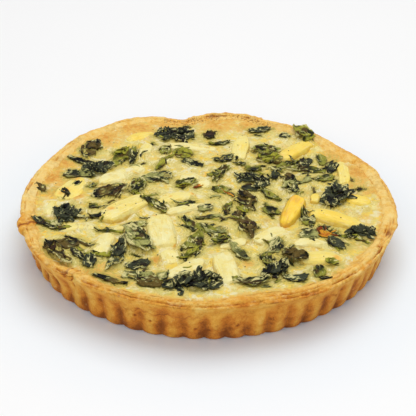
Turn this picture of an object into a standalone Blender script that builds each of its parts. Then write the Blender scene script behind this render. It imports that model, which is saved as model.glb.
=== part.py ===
"""Asparagus quiche: a fluted shortcrust case baked full of egg custard, with pieces of white asparagus
sunk in the custard and wilted green leaves lying on top. Metres, +Z up, origin under the middle of the base.
Directions are degrees from +X, turning towards +Y; the side that was nearest the viewer is -Y."""
import math
import random

import bmesh
import bpy
from mathutils import Matrix, Vector, noise
from mathutils.bvhtree import BVHTree

MM = 0.001

# The baked case. The tin has 60 flutes round a 28 cm class rim.
RIM_RADIUS = 133.4 * MM
RIM_HEIGHT = 31.2 * MM
FOOT_RADIUS = 127.6 * MM
CAVITY_RADIUS = 121.6 * MM
EDGE_RADIUS = CAVITY_RADIUS + 2.6 * MM
EDGE_HEIGHT = RIM_HEIGHT - 1.2 * MM
BASE_THICKNESS = 4 * MM
FLUTES = 60
STEPS_PER_FLUTE = 4
STEPS = FLUTES * STEPS_PER_FLUTE
FLUTE_DEPTH = 2.0 * MM
FLUTE_TOP = 24.5 * MM
SEAM_INSET = 2.4 * MM
SEAM_DEPTH = 1.3 * MM
CRACK_DEPTH = 1.6 * MM
FLAKE_HEIGHT = 0.9 * MM

# The filling.
CUSTARD_LEVEL = 28.3 * MM
CUSTARD_SWELL = 0.9 * MM
CUSTARD_PATCH = 13.5 * MM
GAP = 0.3 * MM

# The toppings.
SPEAR_THICKNESS = 14 * MM
LEAF_THICKNESS = 0.9 * MM
LEAF_CLEARANCE = 0.35 * MM
SCRAP_THICKNESS = 3.0 * MM
SCRAP_SUNK = 1.2 * MM
SCRAP_CURL = 1.0 * MM

# Where the rim strays from round: (direction, half width in degrees, millimetres outward).
RIM_REACH = [
    (19, 4, 1.0), (38, 7, -2.6), (57, 7, 1.6), (79, 5, 1.6), (100, 7, -3.4), (122, 9, 2.4), (140, 8, 2.2),
    (163, 16, -2.6), (219, 17, 5.5), (250, 12, 1.0), (268, 10, 1.2), (284, 10, -1.6), (352, 9, 0.9),
]
# Where the rim's inner edge strays further, so that the rim is narrow at the front left.
INNER_REACH = [(219, 8, 4.5), (246, 9, 3.2), (286, 8, -1.2)]
# Where it rises or dips: (direction, half width in degrees, millimetres up).
RIM_LIFT = [
    (80, 8, 0.8), (101, 7, -3.4), (122, 12, 1.2), (215, 15, 0.6), (270, 12, 0.5), (310, 14, -0.5),
]
# Dough that curls over the edge, and the fold that nicks it: (direction, half width, millimetres outward).
LIP_CURLS = [(200.5, 3.5, 3.6), (231.5, 2.0, -2.2), (346, 2.5, 1.6)]
# The foot isn't quite round either: it bulges at the front left.
FOOT_REACH = [(220, 36, 2.2), (262, 12, 0.6), (305, 30, -1.4)]
SEAM_FROM, SEAM_TO = 228, 346
CRACK_FROM, CRACK_TO = 331, 346
FLAKES_FROM, FLAKES_TO = 66, 98

# Asparagus, in millimetres and degrees: x, y, heading, length, width, bend, narrowing of the far end, height
# above the custard. The far end is the one that the heading points to.
ASPARAGUS = [
    (67.5, 72.5, 51, 41, 17, 8, 0.15, 5),
    (55, 91, 70, 25, 14, 0, 0.1, 2.6),
    (24, 74, 87, 42, 16, 0, 0.05, 4),
    (-17, 73, -1, 46, 13, -6, 0.1, 3.4),
    (-57, 90, 36, 28, 14, 0, 0.2, 2.6),
    (-51, 63, 82, 30, 12, 0, 0.1, 3),
    (-37, 49, 58, 22, 12, 0, 0.1, 2.6),
    (-66, 26, 40, 44, 17, 0, 0.1, 3),
    (-98, 4, 68, 35, 22, 0, 0.15, 3.2),
    (-110, -25, 92, 23, 12, 0, 0.1, 2.4),
    (-58.5, -22.5, 50, 44, 20, 0, 0.1, 5),
    (-57, -46, 26, 27, 9, 0, 0.1, 3),
    (-25, -5, 24, 33, 15, 6, 0.15, 4),
    (-15.5, -21, 22, 31, 11, 0, 0.1, 3.4),
    (-11, 21, -35, 28, 17, 0, 0.15, 3),
    (-31, -50.5, -79, 42, 21, 0, 0.05, 5),
    (-24, -81, -76, 16, 15, 0, 0.2, 3.6),
    (-12, -95, 38, 31, 16, 10, 0.1, 4.6),
    (12.5, -92, -80, 38, 17, 10, 0.1, 5),
    (42.5, -50.5, 38, 30, 15, 0, 0.15, 4.2),
    (17, -62.5, 20, 22, 11, 0, 0.15, 3.2),
    (59, -20, -109, 40, 15.5, -12, 0.35, 6.5),
    (76.5, -1, 80, 13, 8, 0, 0.1, 3.4),
    (90, -28.5, -25, 43, 17, -10, 0.3, 5.4),
    (108, 0, -10, 20, 16, 0, 0.2, 3.6),
    (101, 39, 87, 37, 12, 8, 0.1, 3.2),
    (75, -75, 6, 30, 16, 0, 0.2, 4.4),
    (69, -58.5, 0, 24, 11, 0, 0.1, 3),
    (-68, -67.5, 76, 26, 17, 0, 0.1, 3.4),
    (-88, -50, 14, 24, 15, 0, 0.15, 3),
]
# The larger leaves: x, y, heading, length, width, bend, lift of the edges in millimetres.
LEAVES = [
    (-93, 64, 80, 26, 15, 10, 3),
    (-69, 54, 75, 29, 13, 0, 2),
    (-84, 33, 20, 27, 14, -14, 2.6),
    (-38, 24, 15, 24, 15, 0, 2),
    (-52, 9, 75, 18, 10, 10, 1.6),
    (-72, 0, 30, 26, 15, 0, 2.6),
    (-22, 62, 10, 16, 12, 0, 2.4),
    (-29, 94, 10, 31, 23, 0, 3.4),
    (76, 100, -60, 27, 14, 0, 3),
    (43, 72, 0, 21, 13, 0, 2),
    (46, 58, -10, 18, 11, 0, 2.6),
    (57, 46, 8, 26, 7, 0, 1),
    (7, 34, 70, 27, 8, -60, 2),
    (32, 26, -10, 24, 11, 0, 1.6),
    (60, 21, 88, 28, 9, 0, 1.6),
    (92, 3, 70, 36, 17, 0, 3.4),
    (27, -7, -75, 24, 14, 0, 3),
    (-98, -33, 80, 21, 15, 0, 2.2),
    (-97, -83, -52, 34, 10, 40, 3),
    (-58, -79, 78, 40, 8, 8, 3),
    (-47, -61, -62, 32, 15, 0, 2.6),
    (-41, -103, -10, 22, 12, 0, 1.8),
    (-6, -108, 15, 28, 15, 0, 3.4),
    (9, -60, 10, 15, 11, 0, 1.6),
    (27, -42, -80, 23, 12, 0, 2.4),
    (104, -45, 15, 23, 10, 0, 2.4),
    (57, -75, -30, 20, 14, 0, 3),
    (44, -92, 48, 24, 10, 0, 3),
]
# Small scraps of leaf that are baked into the custard: x, y, heading, length, width.
SCRAPS = [
    (-99, 46, -25, 18, 6), (-107, 23, 5, 12, 7), (-14, 48, -30, 14, 6), (40, 107, 20, 15, 9),
    (10, 55, 20, 12, 8), (74, 55, 80, 12, 8), (88, 61, 90, 13, 6), (44, 5, -55, 16, 5),
    (14, 100, 80, 10, 6), (36, 45, -20, 9, 7), (-112, -46, -30, 15, 8), (-77, -89, 85, 11, 7),
    (-1, -43, -20, 12, 7), (-12, -61, 65, 16, 6), (86, -51, -60, 11, 7), (45, -63, 60, 10, 7),
    (63, -99, 15, 12, 5), (-2, 3, 50, 8, 5), (70, 36, 0, 10, 6),
]

rng = random.Random(28)


def paint(name, colour, roughness):
    """A plain baked-food material."""
    material = bpy.data.materials.new(name)
    material.use_nodes = True
    shader = material.node_tree.nodes["Principled BSDF"]
    shader.inputs["Base Color"].default_value = (*colour, 1)
    shader.inputs["Roughness"].default_value = roughness
    shader.inputs["Metallic"].default_value = 0
    return material


def place(name, mesh, collection, material=None):
    """Put a mesh in the scene as an object."""
    part = bpy.data.objects.new(name, mesh)
    collection.objects.link(part)
    if material:
        mesh.materials.clear()
        mesh.materials.append(material)
    return part


def mesh_from(name, bm):
    """Turn a finished bmesh into a mesh."""
    bmesh.ops.recalc_face_normals(bm, faces=bm.faces)
    mesh = bpy.data.meshes.new(name)
    bm.to_mesh(mesh)
    bm.free()
    return mesh


def settle_modifiers(part):
    """Replace an object's mesh by what its modifiers make of it."""
    graph = bpy.context.evaluated_depsgraph_get()
    result = bpy.data.meshes.new_from_object(part.evaluated_get(graph))
    part.modifiers.clear()
    part.data = result


def combine(part, operation, others):
    """Join to, cut from or clip an object with a collection of others, which are then removed."""
    boolean = part.modifiers.new(operation, "BOOLEAN")
    boolean.operation = operation
    # The exact solver leaves a few doubled edges along the custard's rim.
    boolean.solver = "MANIFOLD"
    boolean.operand_type = "COLLECTION"
    boolean.collection = others
    settle_modifiers(part)
    for other in list(others.objects):
        bpy.data.objects.remove(other)


def direction_of(point):
    """The direction of a point seen from the middle, in degrees."""
    return math.degrees(math.atan2(point.y, point.x)) % 360


def stray(direction, bumps):
    """The sum of a list of smooth bumps at a direction, in metres."""
    total = 0
    for middle, half_width, size in bumps:
        away = (direction - middle + 180) % 360 - 180
        total += size * math.exp(-(away / half_width) ** 2)
    return total * MM


def between(direction, start, end, fade=4):
    """1 from start to end, fading to 0 over a few degrees outside them."""
    inside = min(direction - start, end - direction)
    return min(1, max(0, 1 + inside / fade))


def ramp(value, low, high):
    """0 below low, 1 above high, smooth between them."""
    share = min(1, max(0, (value - low) / (high - low)))
    return share * share * (3 - 2 * share)


def wall_reach(direction, radius, height):
    """How far the wall strays from its turned shape: the foot was held by the tin, and the rim was free."""
    top = ramp(height, 9 * MM, RIM_HEIGHT - 4 * MM)
    foot = 1 - ramp(height, 2 * MM, 20 * MM)
    inner = top * (1 - ramp(radius, EDGE_RADIUS, RIM_RADIUS))
    reach = top * stray(direction, RIM_REACH) + foot * stray(direction, FOOT_REACH)
    return reach + inner * stray(direction, INNER_REACH)


def rim_lift(direction, height):
    """How far a point of the wall rises or dips with the rim."""
    return stray(direction, RIM_LIFT) * ramp(height, 17 * MM, RIM_HEIGHT - 4 * MM)


def turned(name, profile, steps, collection):
    """A closed body turned from a profile of (radius, height), which runs from axis to axis."""
    bm = bmesh.new()
    points = [bm.verts.new((radius, 0, height)) for radius, height in profile]
    for upper, lower in zip(points, points[1:]):
        bm.edges.new((upper, lower))
    mesh = bpy.data.meshes.new(name)
    bm.to_mesh(mesh)
    bm.free()
    part = place(name, mesh, collection)
    screw = part.modifiers.new("turn", "SCREW")
    screw.steps = steps
    screw.render_steps = steps
    screw.use_merge_vertices = True
    screw.merge_threshold = 0.01 * MM
    settle_modifiers(part)
    return part


def split_alike(mesh):
    """Split the faces along their shorter diagonal, so that two walls that face each other split alike."""
    bm = bmesh.new()
    bm.from_mesh(mesh)
    bmesh.ops.triangulate(bm, faces=bm.faces, quad_method="SHORT_EDGE")
    bm.to_mesh(mesh)
    bm.free()


def halve_rings(bm, steps, is_fine):
    """Merge every second point of the rings that don't need the full number."""
    rings = {}
    for vertex in bm.verts:
        radius = math.hypot(vertex.co.x, vertex.co.y)
        if radius > MM and not is_fine(radius, vertex.co.z):
            column = round(direction_of(vertex.co) / 360 * steps) % steps
            rings.setdefault((round(radius / MM, 2), round(vertex.co.z / MM, 2)), {})[column] = vertex
    merged = {}
    for ring in rings.values():
        for column, vertex in ring.items():
            if column % 2:
                merged[vertex] = ring[column - 1]
    bmesh.ops.weld_verts(bm, targetmap=merged)


def flute_share(height):
    """How strongly the flutes show at a height: they fade out under the rim."""
    return 1 - ramp(height, 15 * MM, FLUTE_TOP + 2 * MM)


def flute_inset(direction, strength):
    """How far a point of the wall lies inside the flutes' crests. Each flute is a round scallop."""
    turn = direction / 360 * FLUTES
    phase = turn % 1
    scallop = 1 - abs(math.sin(math.pi * phase)) ** 0.6
    return FLUTE_DEPTH * scallop * strength[int(round(turn - 0.5)) % FLUTES]


def is_fluted(radius, height):
    """True on the outer wall below the rim."""
    return radius > CAVITY_RADIUS + 2 * MM and height < FLUTE_TOP


def make_crust(collection, material):
    """The pastry case: flat base, fluted wall, and a thick uneven rim with a seam between its two layers."""
    seam_radius = RIM_RADIUS - SEAM_INSET
    profile = [
        (0, BASE_THICKNESS),
        (CAVITY_RADIUS - 4 * MM, BASE_THICKNESS),
        (CAVITY_RADIUS, RIM_HEIGHT - 4 * MM),
        (EDGE_RADIUS, EDGE_HEIGHT),
        (seam_radius - 2.2 * MM, RIM_HEIGHT),
        (seam_radius, RIM_HEIGHT - 0.5 * MM),
        (RIM_RADIUS - 1.0 * MM, RIM_HEIGHT - 0.4 * MM),
        (RIM_RADIUS, RIM_HEIGHT - 1.9 * MM),
        (RIM_RADIUS - 1.0 * MM, RIM_HEIGHT - 4.6 * MM),
        (RIM_RADIUS - 2.9 * MM, FLUTE_TOP - 0.7 * MM),
        (FOOT_RADIUS + 2.4 * MM, 15 * MM),
        (FOOT_RADIUS, 1.9 * MM),
        (FOOT_RADIUS - 1.9 * MM, 0),
        (0, 0),
    ]
    crust = turned("crust", profile, STEPS, collection)
    bm = bmesh.new()
    bm.from_mesh(crust.data)
    halve_rings(bm, STEPS, is_fluted)
    strength = [rng.uniform(0.75, 1.15) for _ in range(FLUTES)]
    for vertex in bm.verts:
        radius = math.hypot(vertex.co.x, vertex.co.y)
        if radius < MM:
            continue
        height = vertex.co.z
        direction = direction_of(vertex.co)
        reach = wall_reach(direction, radius, height)
        lift = rim_lift(direction, height)
        if is_fluted(radius, height):
            reach -= flute_inset(direction, strength) * flute_share(height)
        on_rim = height > RIM_HEIGHT - 5 * MM and radius > CAVITY_RADIUS + 4 * MM
        if on_rim:
            reach += rng.uniform(-0.35, 0.35) * MM
            lift += rng.uniform(-0.3, 0.3) * MM
            reach += stray(direction, LIP_CURLS) * ramp(radius, seam_radius, RIM_RADIUS)
            lift += FLAKE_HEIGHT * rng.uniform(-1, 1) * between(direction, FLAKES_FROM, FLAKES_TO)
            if abs(radius - seam_radius) < 0.5 * MM:
                lift -= SEAM_DEPTH * between(direction, SEAM_FROM, SEAM_TO)
                lift -= CRACK_DEPTH * between(direction, CRACK_FROM, CRACK_TO)
        vertex.co.xy *= (radius + reach) / radius
        vertex.co.z += lift
    crust.data = mesh_from("crust", bm)
    split_alike(crust.data)
    crust.data.materials.append(material)
    crust.data.shade_smooth()
    crust.data.set_sharp_from_angle(angle=math.radians(35))
    return crust


def custard_height(x, y):
    """The level of the custard: gently uneven, drawn up a little along the crust, and lower where the rim dips."""
    swell = noise.noise(Vector((x, y, 0)) / (26 * MM)) + 0.5 * noise.noise(Vector((x, y, 9)) / (11 * MM))
    radius = math.hypot(x, y)
    edge = ramp(radius, CAVITY_RADIUS - 14 * MM, CAVITY_RADIUS)
    follow = ramp(radius, CAVITY_RADIUS - 50 * MM, CAVITY_RADIUS)
    dip = stray(direction_of(Vector((x, y, 0))), RIM_LIFT)
    return CUSTARD_LEVEL + CUSTARD_SWELL * swell * (1 - 0.5 * edge) + 0.8 * MM * edge + dip * follow


def rod_mesh(name, length, width, bend, narrowing, grow=0.0):
    """A blunt, slightly bent piece of spear along X, its middle at the origin, from a sphere."""
    bm = bmesh.new()
    bmesh.ops.create_uvsphere(bm, u_segments=8, v_segments=5, radius=1, matrix=Matrix.Rotation(math.pi / 2, 4, "Y"))
    thickness = min(width, SPEAR_THICKNESS)
    for vertex in bm.verts:
        along = vertex.co.x
        ring = math.hypot(vertex.co.y, vertex.co.z)
        fullness = ring ** 0.45 / ring if ring > 1e-4 else 0
        taper = 1 - narrowing * ramp(along, -0.2, 1)
        reach = math.copysign(abs(along) ** 0.85, along)
        side = vertex.co.y * fullness * taper * (width / 2 + grow)
        up = vertex.co.z * fullness * taper * (thickness / 2 + grow)
        vertex.co = (reach * (length / 2 + grow), side + bend * reach * reach, up)
    return mesh_from(name, bm)


def make_asparagus(spec, name, collection, material=None, grow=0.0):
    """One piece of asparagus in its place, sunk in the custard to the height that its row gives."""
    x, y, heading, length, width, bend, narrowing, proud = spec
    mesh = rod_mesh(name, length * MM, width * MM, math.radians(bend) * length * MM / 8, narrowing, grow)
    half = min(width * MM, SPEAR_THICKNESS) / 2
    middle = Vector((x * MM, y * MM, custard_height(x * MM, y * MM) + proud * MM - half))
    mesh.transform(Matrix.Translation(middle) @ Matrix.Rotation(math.radians(heading), 4, "Z"))
    piece = place(name, mesh, collection, material)
    mesh.shade_smooth()
    return piece


def leaf_sheet(length, width, bend, lift, columns, rows):
    """An open leaf blade along X: a lobed outline, edges that lift, and a bent midrib."""
    bm = bmesh.new()
    bmesh.ops.create_grid(bm, x_segments=columns, y_segments=rows, size=1)
    phase = rng.uniform(0, math.tau)
    turn = math.radians(bend)
    for vertex in bm.verts:
        along, across, _ = vertex.co
        blade = max(0.25, (1 - abs(along) ** 2.2) ** 0.6)
        lobes = 1 + 0.16 * math.sin(4.5 * along + phase) * across
        side = across * blade * lobes * width / 2
        x = along * length / 2
        y = side
        if turn:
            radius = length / turn
            x = (radius - side) * math.sin(along * turn / 2)
            y = radius - (radius - side) * math.cos(along * turn / 2)
        wave = 0.6 + 0.4 * math.sin(5 * along + 2 * across + phase)
        vertex.co = (x, y, lift * wave * (0.25 * along * along + 0.75 * across * across))
    bmesh.ops.triangulate(bm, faces=bm.faces)
    return bm


def top_of(trees, x, y):
    """The highest point of some bodies under (x, y)."""
    best = 0
    for tree in trees:
        hit = tree.ray_cast(Vector((x, y, 0.1)), Vector((0, 0, -1)))[0]
        if hit:
            best = max(best, hit.z)
    return best


def drape(bm, trees, reach):
    """Raise a sheet's points until it lies clear on the bodies under it, bridging the hollows."""
    floor = {}
    for vertex in bm.verts:
        samples = [top_of(trees, vertex.co.x, vertex.co.y)]
        for share, count in ((0.5, 6), (1, 10)):
            for step in range(count):
                angle = math.tau * step / count
                spot = vertex.co + share * reach * Vector((math.cos(angle), math.sin(angle), 0))
                samples.append(top_of(trees, spot.x, spot.y))
        floor[vertex] = max(samples) + LEAF_CLEARANCE
    level = dict(floor)
    for _ in range(4):
        for vertex in bm.verts:
            near = [level[edge.other_vert(vertex)] for edge in vertex.link_edges]
            level[vertex] = max(floor[vertex], sum(near) / len(near))
    for vertex in bm.verts:
        vertex.co.z += level[vertex]


def tree_of(part):
    """A search tree over an object's faces, for finding what lies under a leaf."""
    bm = bmesh.new()
    bm.from_mesh(part.data)
    tree = BVHTree.FromBMesh(bm)
    bm.free()
    return tree


def thicken(part, thickness):
    """Give a sheet its thickness, upward from its underside, so that both faces split alike."""
    solid = part.modifiers.new("thickness", "SOLIDIFY")
    solid.thickness = thickness
    solid.offset = 1
    settle_modifiers(part)


def make_leaf(spec, name, collection, material, trees):
    """One wilted leaf: a thin wavy solid that lies on the custard and on its neighbours."""
    x, y, heading, length, width, bend, lift = spec
    columns = 6 if length > 25 else 4
    rows = 4 if width > 13 else 3
    bm = leaf_sheet(length * MM, width * MM, bend, lift * MM, columns, rows)
    at = Matrix.Translation((x * MM, y * MM, 0)) @ Matrix.Rotation(math.radians(heading), 4, "Z")
    bmesh.ops.transform(bm, matrix=at, verts=bm.verts)
    drape(bm, trees, 0.6 * max(length / columns, width / rows) * MM)
    mesh = bpy.data.meshes.new(name)
    bm.to_mesh(mesh)
    bm.free()
    leaf = place(name, mesh, collection, material)
    thicken(leaf, LEAF_THICKNESS)
    trees.append(tree_of(leaf))
    return leaf


def make_scrap(spec, name, collection):
    """A small flat scrap of leaf, half sunk in the custard."""
    x, y, heading, length, width = spec
    bm = leaf_sheet(length * MM, width * MM, 0, SCRAP_CURL, 2, 2)
    at = Matrix.Translation((x * MM, y * MM, 0)) @ Matrix.Rotation(math.radians(heading), 4, "Z")
    bmesh.ops.transform(bm, matrix=at, verts=bm.verts)
    for vertex in bm.verts:
        vertex.co.z += custard_height(vertex.co.x, vertex.co.y) - SCRAP_SUNK
    mesh = bpy.data.meshes.new(name)
    bm.to_mesh(mesh)
    bm.free()
    scrap = place(name, mesh, collection)
    thicken(scrap, SCRAP_THICKNESS)


def make_custard(collection, cutters, material):
    """The filling: it fills the case, carries the scraps of leaf, and has a bed for each asparagus piece."""
    side = 2 * CAVITY_RADIUS + 12 * MM
    patches = round(side / CUSTARD_PATCH)
    bm = bmesh.new()
    bmesh.ops.create_grid(bm, x_segments=patches, y_segments=patches, size=side / 2)
    for vertex in bm.verts:
        if not vertex.is_boundary:
            vertex.co.x += rng.uniform(-0.25, 0.25) * CUSTARD_PATCH
            vertex.co.y += rng.uniform(-0.25, 0.25) * CUSTARD_PATCH
        vertex.co.z = custard_height(vertex.co.x, vertex.co.y)
    sunk = bmesh.ops.extrude_face_region(bm, geom=bm.faces)["geom"]
    for vertex in (item for item in sunk if isinstance(item, bmesh.types.BMVert)):
        vertex.co.z = -2 * MM
    custard = place("custard", mesh_from("custard", bm), collection)

    for number, spec in enumerate(SCRAPS):
        make_scrap(spec, f"scrap_{number}", cutters)
    combine(custard, "UNION", cutters)

    inset = GAP * 1.2
    above = RIM_HEIGHT + 9 * MM
    plug = turned("plug", [
        (0, above),
        (EDGE_RADIUS - inset, above),
        (EDGE_RADIUS - inset, EDGE_HEIGHT),
        (CAVITY_RADIUS - inset, RIM_HEIGHT - 4 * MM),
        (CAVITY_RADIUS - 4 * MM - inset, BASE_THICKNESS + inset),
        (0, BASE_THICKNESS + inset),
    ], STEPS // 2, cutters)
    for vertex in plug.data.vertices:
        radius = math.hypot(vertex.co.x, vertex.co.y)
        if radius > MM:
            direction = direction_of(vertex.co)
            height = vertex.co.z
            vertex.co.xy *= (radius + wall_reach(direction, radius, height)) / radius
            vertex.co.z += rim_lift(direction, height)
    split_alike(plug.data)
    combine(custard, "INTERSECT", cutters)

    for number, spec in enumerate(ASPARAGUS):
        make_asparagus(spec, f"bed_{number}", cutters, grow=GAP * 1.4)
    combine(custard, "DIFFERENCE", cutters)
    custard.data.materials.clear()
    custard.data.materials.append(material)
    return custard


def stand_on_origin(parts):
    """Move all the pieces together so that the origin is under the middle of their box."""
    points = [vertex.co for part in parts for vertex in part.data.vertices]
    low = Vector([min(point[axis] for point in points) for axis in range(3)])
    high = Vector([max(point[axis] for point in points) for axis in range(3)])
    shift = Vector((-(low.x + high.x) / 2, -(low.y + high.y) / 2, -low.z))
    for part in parts:
        part.data.transform(Matrix.Translation(shift))


def build():
    """Clear the scene and make every piece of the quiche."""
    for old in list(bpy.data.objects):
        bpy.data.objects.remove(old)
    quiche = bpy.data.collections.new("asparagus_quiche")
    cutters = bpy.data.collections.new("cutters")
    for collection in (quiche, cutters):
        bpy.context.scene.collection.children.link(collection)

    pastry = paint("pastry", (0.68, 0.36, 0.11), 0.7)
    egg = paint("custard", (0.76, 0.60, 0.27), 0.5)
    spear = paint("asparagus", (0.80, 0.70, 0.33), 0.4)
    green = paint("leaf", (0.06, 0.09, 0.03), 0.45)

    crust = make_crust(quiche, pastry)
    custard = make_custard(quiche, cutters, egg)
    trees = [tree_of(crust), tree_of(custard)]
    for number, spec in enumerate(ASPARAGUS, start=1):
        trees.append(tree_of(make_asparagus(spec, f"asparagus_{number:02d}", quiche, spear)))
    for number, spec in enumerate(LEAVES, start=1):
        make_leaf(spec, f"leaf_{number:02d}", quiche, green, trees)
    stand_on_origin(quiche.objects)


build()
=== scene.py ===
"""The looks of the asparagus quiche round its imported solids: a golden fluted case, a pale custard browned
towards the rim, soft pieces of white asparagus, and dark wilted leaves.
Metres, +Z up; directions are degrees from +X."""
import math
import random

import bpy
import numpy as np
from mathutils import Matrix, Vector, noise
from mathutils.bvhtree import BVHTree


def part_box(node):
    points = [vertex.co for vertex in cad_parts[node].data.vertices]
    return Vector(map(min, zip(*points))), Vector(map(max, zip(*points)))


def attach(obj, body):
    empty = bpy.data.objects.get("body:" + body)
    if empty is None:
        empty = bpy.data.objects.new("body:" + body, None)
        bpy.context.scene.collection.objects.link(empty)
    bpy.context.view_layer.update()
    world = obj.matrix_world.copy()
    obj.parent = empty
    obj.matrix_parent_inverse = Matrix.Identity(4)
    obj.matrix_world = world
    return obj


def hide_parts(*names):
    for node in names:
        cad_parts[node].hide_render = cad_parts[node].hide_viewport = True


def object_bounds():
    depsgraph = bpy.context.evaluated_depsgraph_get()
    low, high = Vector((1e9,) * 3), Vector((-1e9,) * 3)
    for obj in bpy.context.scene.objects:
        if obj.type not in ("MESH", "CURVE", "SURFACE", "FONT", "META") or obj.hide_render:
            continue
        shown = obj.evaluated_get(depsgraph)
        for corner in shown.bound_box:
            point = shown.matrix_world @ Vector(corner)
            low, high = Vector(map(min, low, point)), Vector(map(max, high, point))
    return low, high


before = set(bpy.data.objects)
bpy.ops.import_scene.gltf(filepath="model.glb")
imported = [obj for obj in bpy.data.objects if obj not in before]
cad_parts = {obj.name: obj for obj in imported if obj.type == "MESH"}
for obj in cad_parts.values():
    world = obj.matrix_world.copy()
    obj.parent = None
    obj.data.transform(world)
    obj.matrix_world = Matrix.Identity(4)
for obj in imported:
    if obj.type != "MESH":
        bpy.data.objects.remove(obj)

cad_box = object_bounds()
bpy.ops.object.select_all(action="DESELECT")

# ---- The pastry case -------------------------------------------------------------------------------------
# Shortcrust pressed by hand into a fluted tin: sixty scallops fade out under a thick rim that rose free of
# the tin. Its two layers part along a seam at the front, it is flaky at the back, and it is baked darkest in
# the grooves, which also carry painted shade.
MM = 0.001
TIN_AXIS = Vector((-0.704, 0.598, 0)) * MM
RIM_RADIUS = 133.4 * MM
RIM_HEIGHT = 31.2 * MM
FOOT_RADIUS = 127.6 * MM
CAVITY_RADIUS = 121.6 * MM
EDGE_RADIUS = CAVITY_RADIUS + 2.6 * MM
SEAM_RADIUS = RIM_RADIUS - 2.4 * MM
FLUTE_TOP = 24.5 * MM
FLUTES = 60
FLUTE_DEPTH = 2.0 * MM
FLUTE_STRENGTH = (0.75, 1.15)
COLUMNS = 16 * FLUTES
WALL_SPACING = 0.95 * MM
RIM_SPACING = 0.5 * MM

# Bumps round the case: direction, half width in degrees, size in millimetres. RIM_REACH, RIM_LIFT and
# FOOT_REACH are the solid's own.
RIM_REACH = [
    (19, 4, 1.0), (38, 7, -2.6), (57, 7, 1.6), (79, 5, 1.6), (100, 7, -3.4), (122, 9, 2.4), (140, 8, 2.2),
    (163, 16, -2.6), (219, 17, 5.5), (250, 12, 1.0), (268, 10, 1.2), (284, 10, -1.6), (352, 9, 0.9),
]
INNER_REACH = [(219, 8, 4.5), (246, 9, 3.2), (266, 9, 2.4), (286, 8, -1.2)]
RIM_LIFT = [
    (80, 8, 0.8), (101, 7, -3.4), (122, 12, 1.2), (215, 15, 0.6), (270, 12, 0.5), (310, 14, -0.5),
]
LIP_CURLS = [(231.5, 2.0, -2.2), (346, 2.5, 1.4)]
# The knob of dough at the left: direction, half width in degrees, then the height of its middle, its half
# height and how far it stands out, in millimetres.
KNOB = (200.5, 4.0, 25.5, 8.5, 3.6)
# The flaky top layer at the back: from and to, in degrees, and its height in millimetres.
FLAKES = (71.5, 98.6, 1.5)
FOOT_REACH = [(220, 36, 2.2), (262, 12, 0.6), (305, 30, -1.4)]
# The seam between the two layers: from and to, in degrees, its inset and how far the outer layer sank, in mm.
SEAM = (226, 348, 2.3, 0.9)
# A lap of dough folded down over the flutes: from and to, in degrees, its lower edge and thickness, in mm.
LAP = (246, 268, 20.4, 0.7)
# Fine wrinkles beside the lap: from and to, and their spacing, in degrees, and how deep they are, in mm.
WRINKLES = (272, 279, 1.1, 0.22)
# Cracks along the rim: from and to, in degrees, inset from the rim's edge, width, depth, in millimetres.
RIM_CRACKS = [
    (226, 348, 2.3, 0.5, 2.6), (231, 258, 4.4, 0.4, 1.2), (331, 346, 4.0, 0.8, 3.2),
    (336, 344, 6.0, 0.5, 1.2), (286, 303, 4.6, 0.7, 2.2), (64, 84, 2.6, 0.5, 1.6), (70, 99, 5.4, 0.5, 1.6),
    (88, 112, 6.8, 0.5, 1.2), (112, 128, 4.4, 0.5, 1.2), (18, 34, 3.4, 0.5, 1.0), (356, 369, 3.0, 0.4, 1.2),
    (176, 194, 2.8, 0.5, 1.2), (146, 160, 5.6, 0.5, 1.0), (209, 219, 5.0, 0.5, 1.0),
    (309, 322, 6.0, 0.5, 1.0), (258, 284, 5.2, 0.4, 0.9), (160, 178, 3.6, 0.4, 0.9),
    (38, 60, 4.6, 0.4, 1.0), (100, 140, 2.4, 0.4, 1.0), (196, 212, 3.4, 0.4, 1.0),
]
# Cracks down the outside: direction, height of the lower and upper end, half width in degrees, depth in mm.
WALL_CRACKS = [(231.3, 19, 30, 0.35, 1.5), (229.2, 27, 33, 0.4, 1.0), (201.5, 24, 33, 0.7, 1.8)]
# How much darker the pastry is towards some directions: (direction, half width, share). At the knob it is
# browned; at the left it is painted paler as a highlight, and at the front darker as painted shade.
TOAST_AND_LIGHT = [
    (282, 42, 0.06), (352, 34, -0.10), (180, 34, -0.14), (128, 26, -0.08), (60, 30, -0.06), (201, 4, 0.16),
]
# Pits in the grooves, darkened with painted shade: direction, height in mm. All are of one width and depth.
WALL_PITS = [(250.5, 14.5), (255.0, 12.5), (267.5, 10.0), (279.0, 13.0), (312.0, 19.0), (309.5, 18.0)]
PIT_WIDTH = 0.9 * MM
PIT_DEPTH = 1.1 * MM


def direction_of(points):
    """The directions of some points, seen from the tin's axis, in degrees."""
    return np.degrees(np.arctan2(points[:, 1], points[:, 0])) % 360


def radius_of(points):
    """How far some points lie from the upright axis through the origin."""
    return np.hypot(points[:, 0], points[:, 1])


def stray(direction, bumps):
    """The sum of a list of smooth bumps at some directions, in metres."""
    total = np.zeros_like(direction)
    for middle, half_width, size in bumps:
        away = (direction - middle + 180) % 360 - 180
        total += size * np.exp(-(away / half_width) ** 2)
    return total * MM


def ramp(value, low, high):
    """0 below low, 1 above high, smooth between them."""
    share = np.clip((value - low) / (high - low), 0, 1)
    return share * share * (3 - 2 * share)


def between(value, start, end, fade):
    """1 from start to end, fading to 0 just outside them."""
    return np.clip(1 + np.minimum(value - start, end - value) / fade, 0, 1)


def wall_reach(direction, radius, height):
    """How far the wall strays from its turned shape: the tin held the foot, and the rim was free."""
    top = ramp(height, 9 * MM, RIM_HEIGHT - 4 * MM)
    foot = 1 - ramp(height, 2 * MM, 20 * MM)
    inner = top * (1 - ramp(radius, EDGE_RADIUS, RIM_RADIUS))
    reach = top * stray(direction, RIM_REACH) + foot * stray(direction, FOOT_REACH)
    return reach + inner * stray(direction, INNER_REACH)


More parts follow.
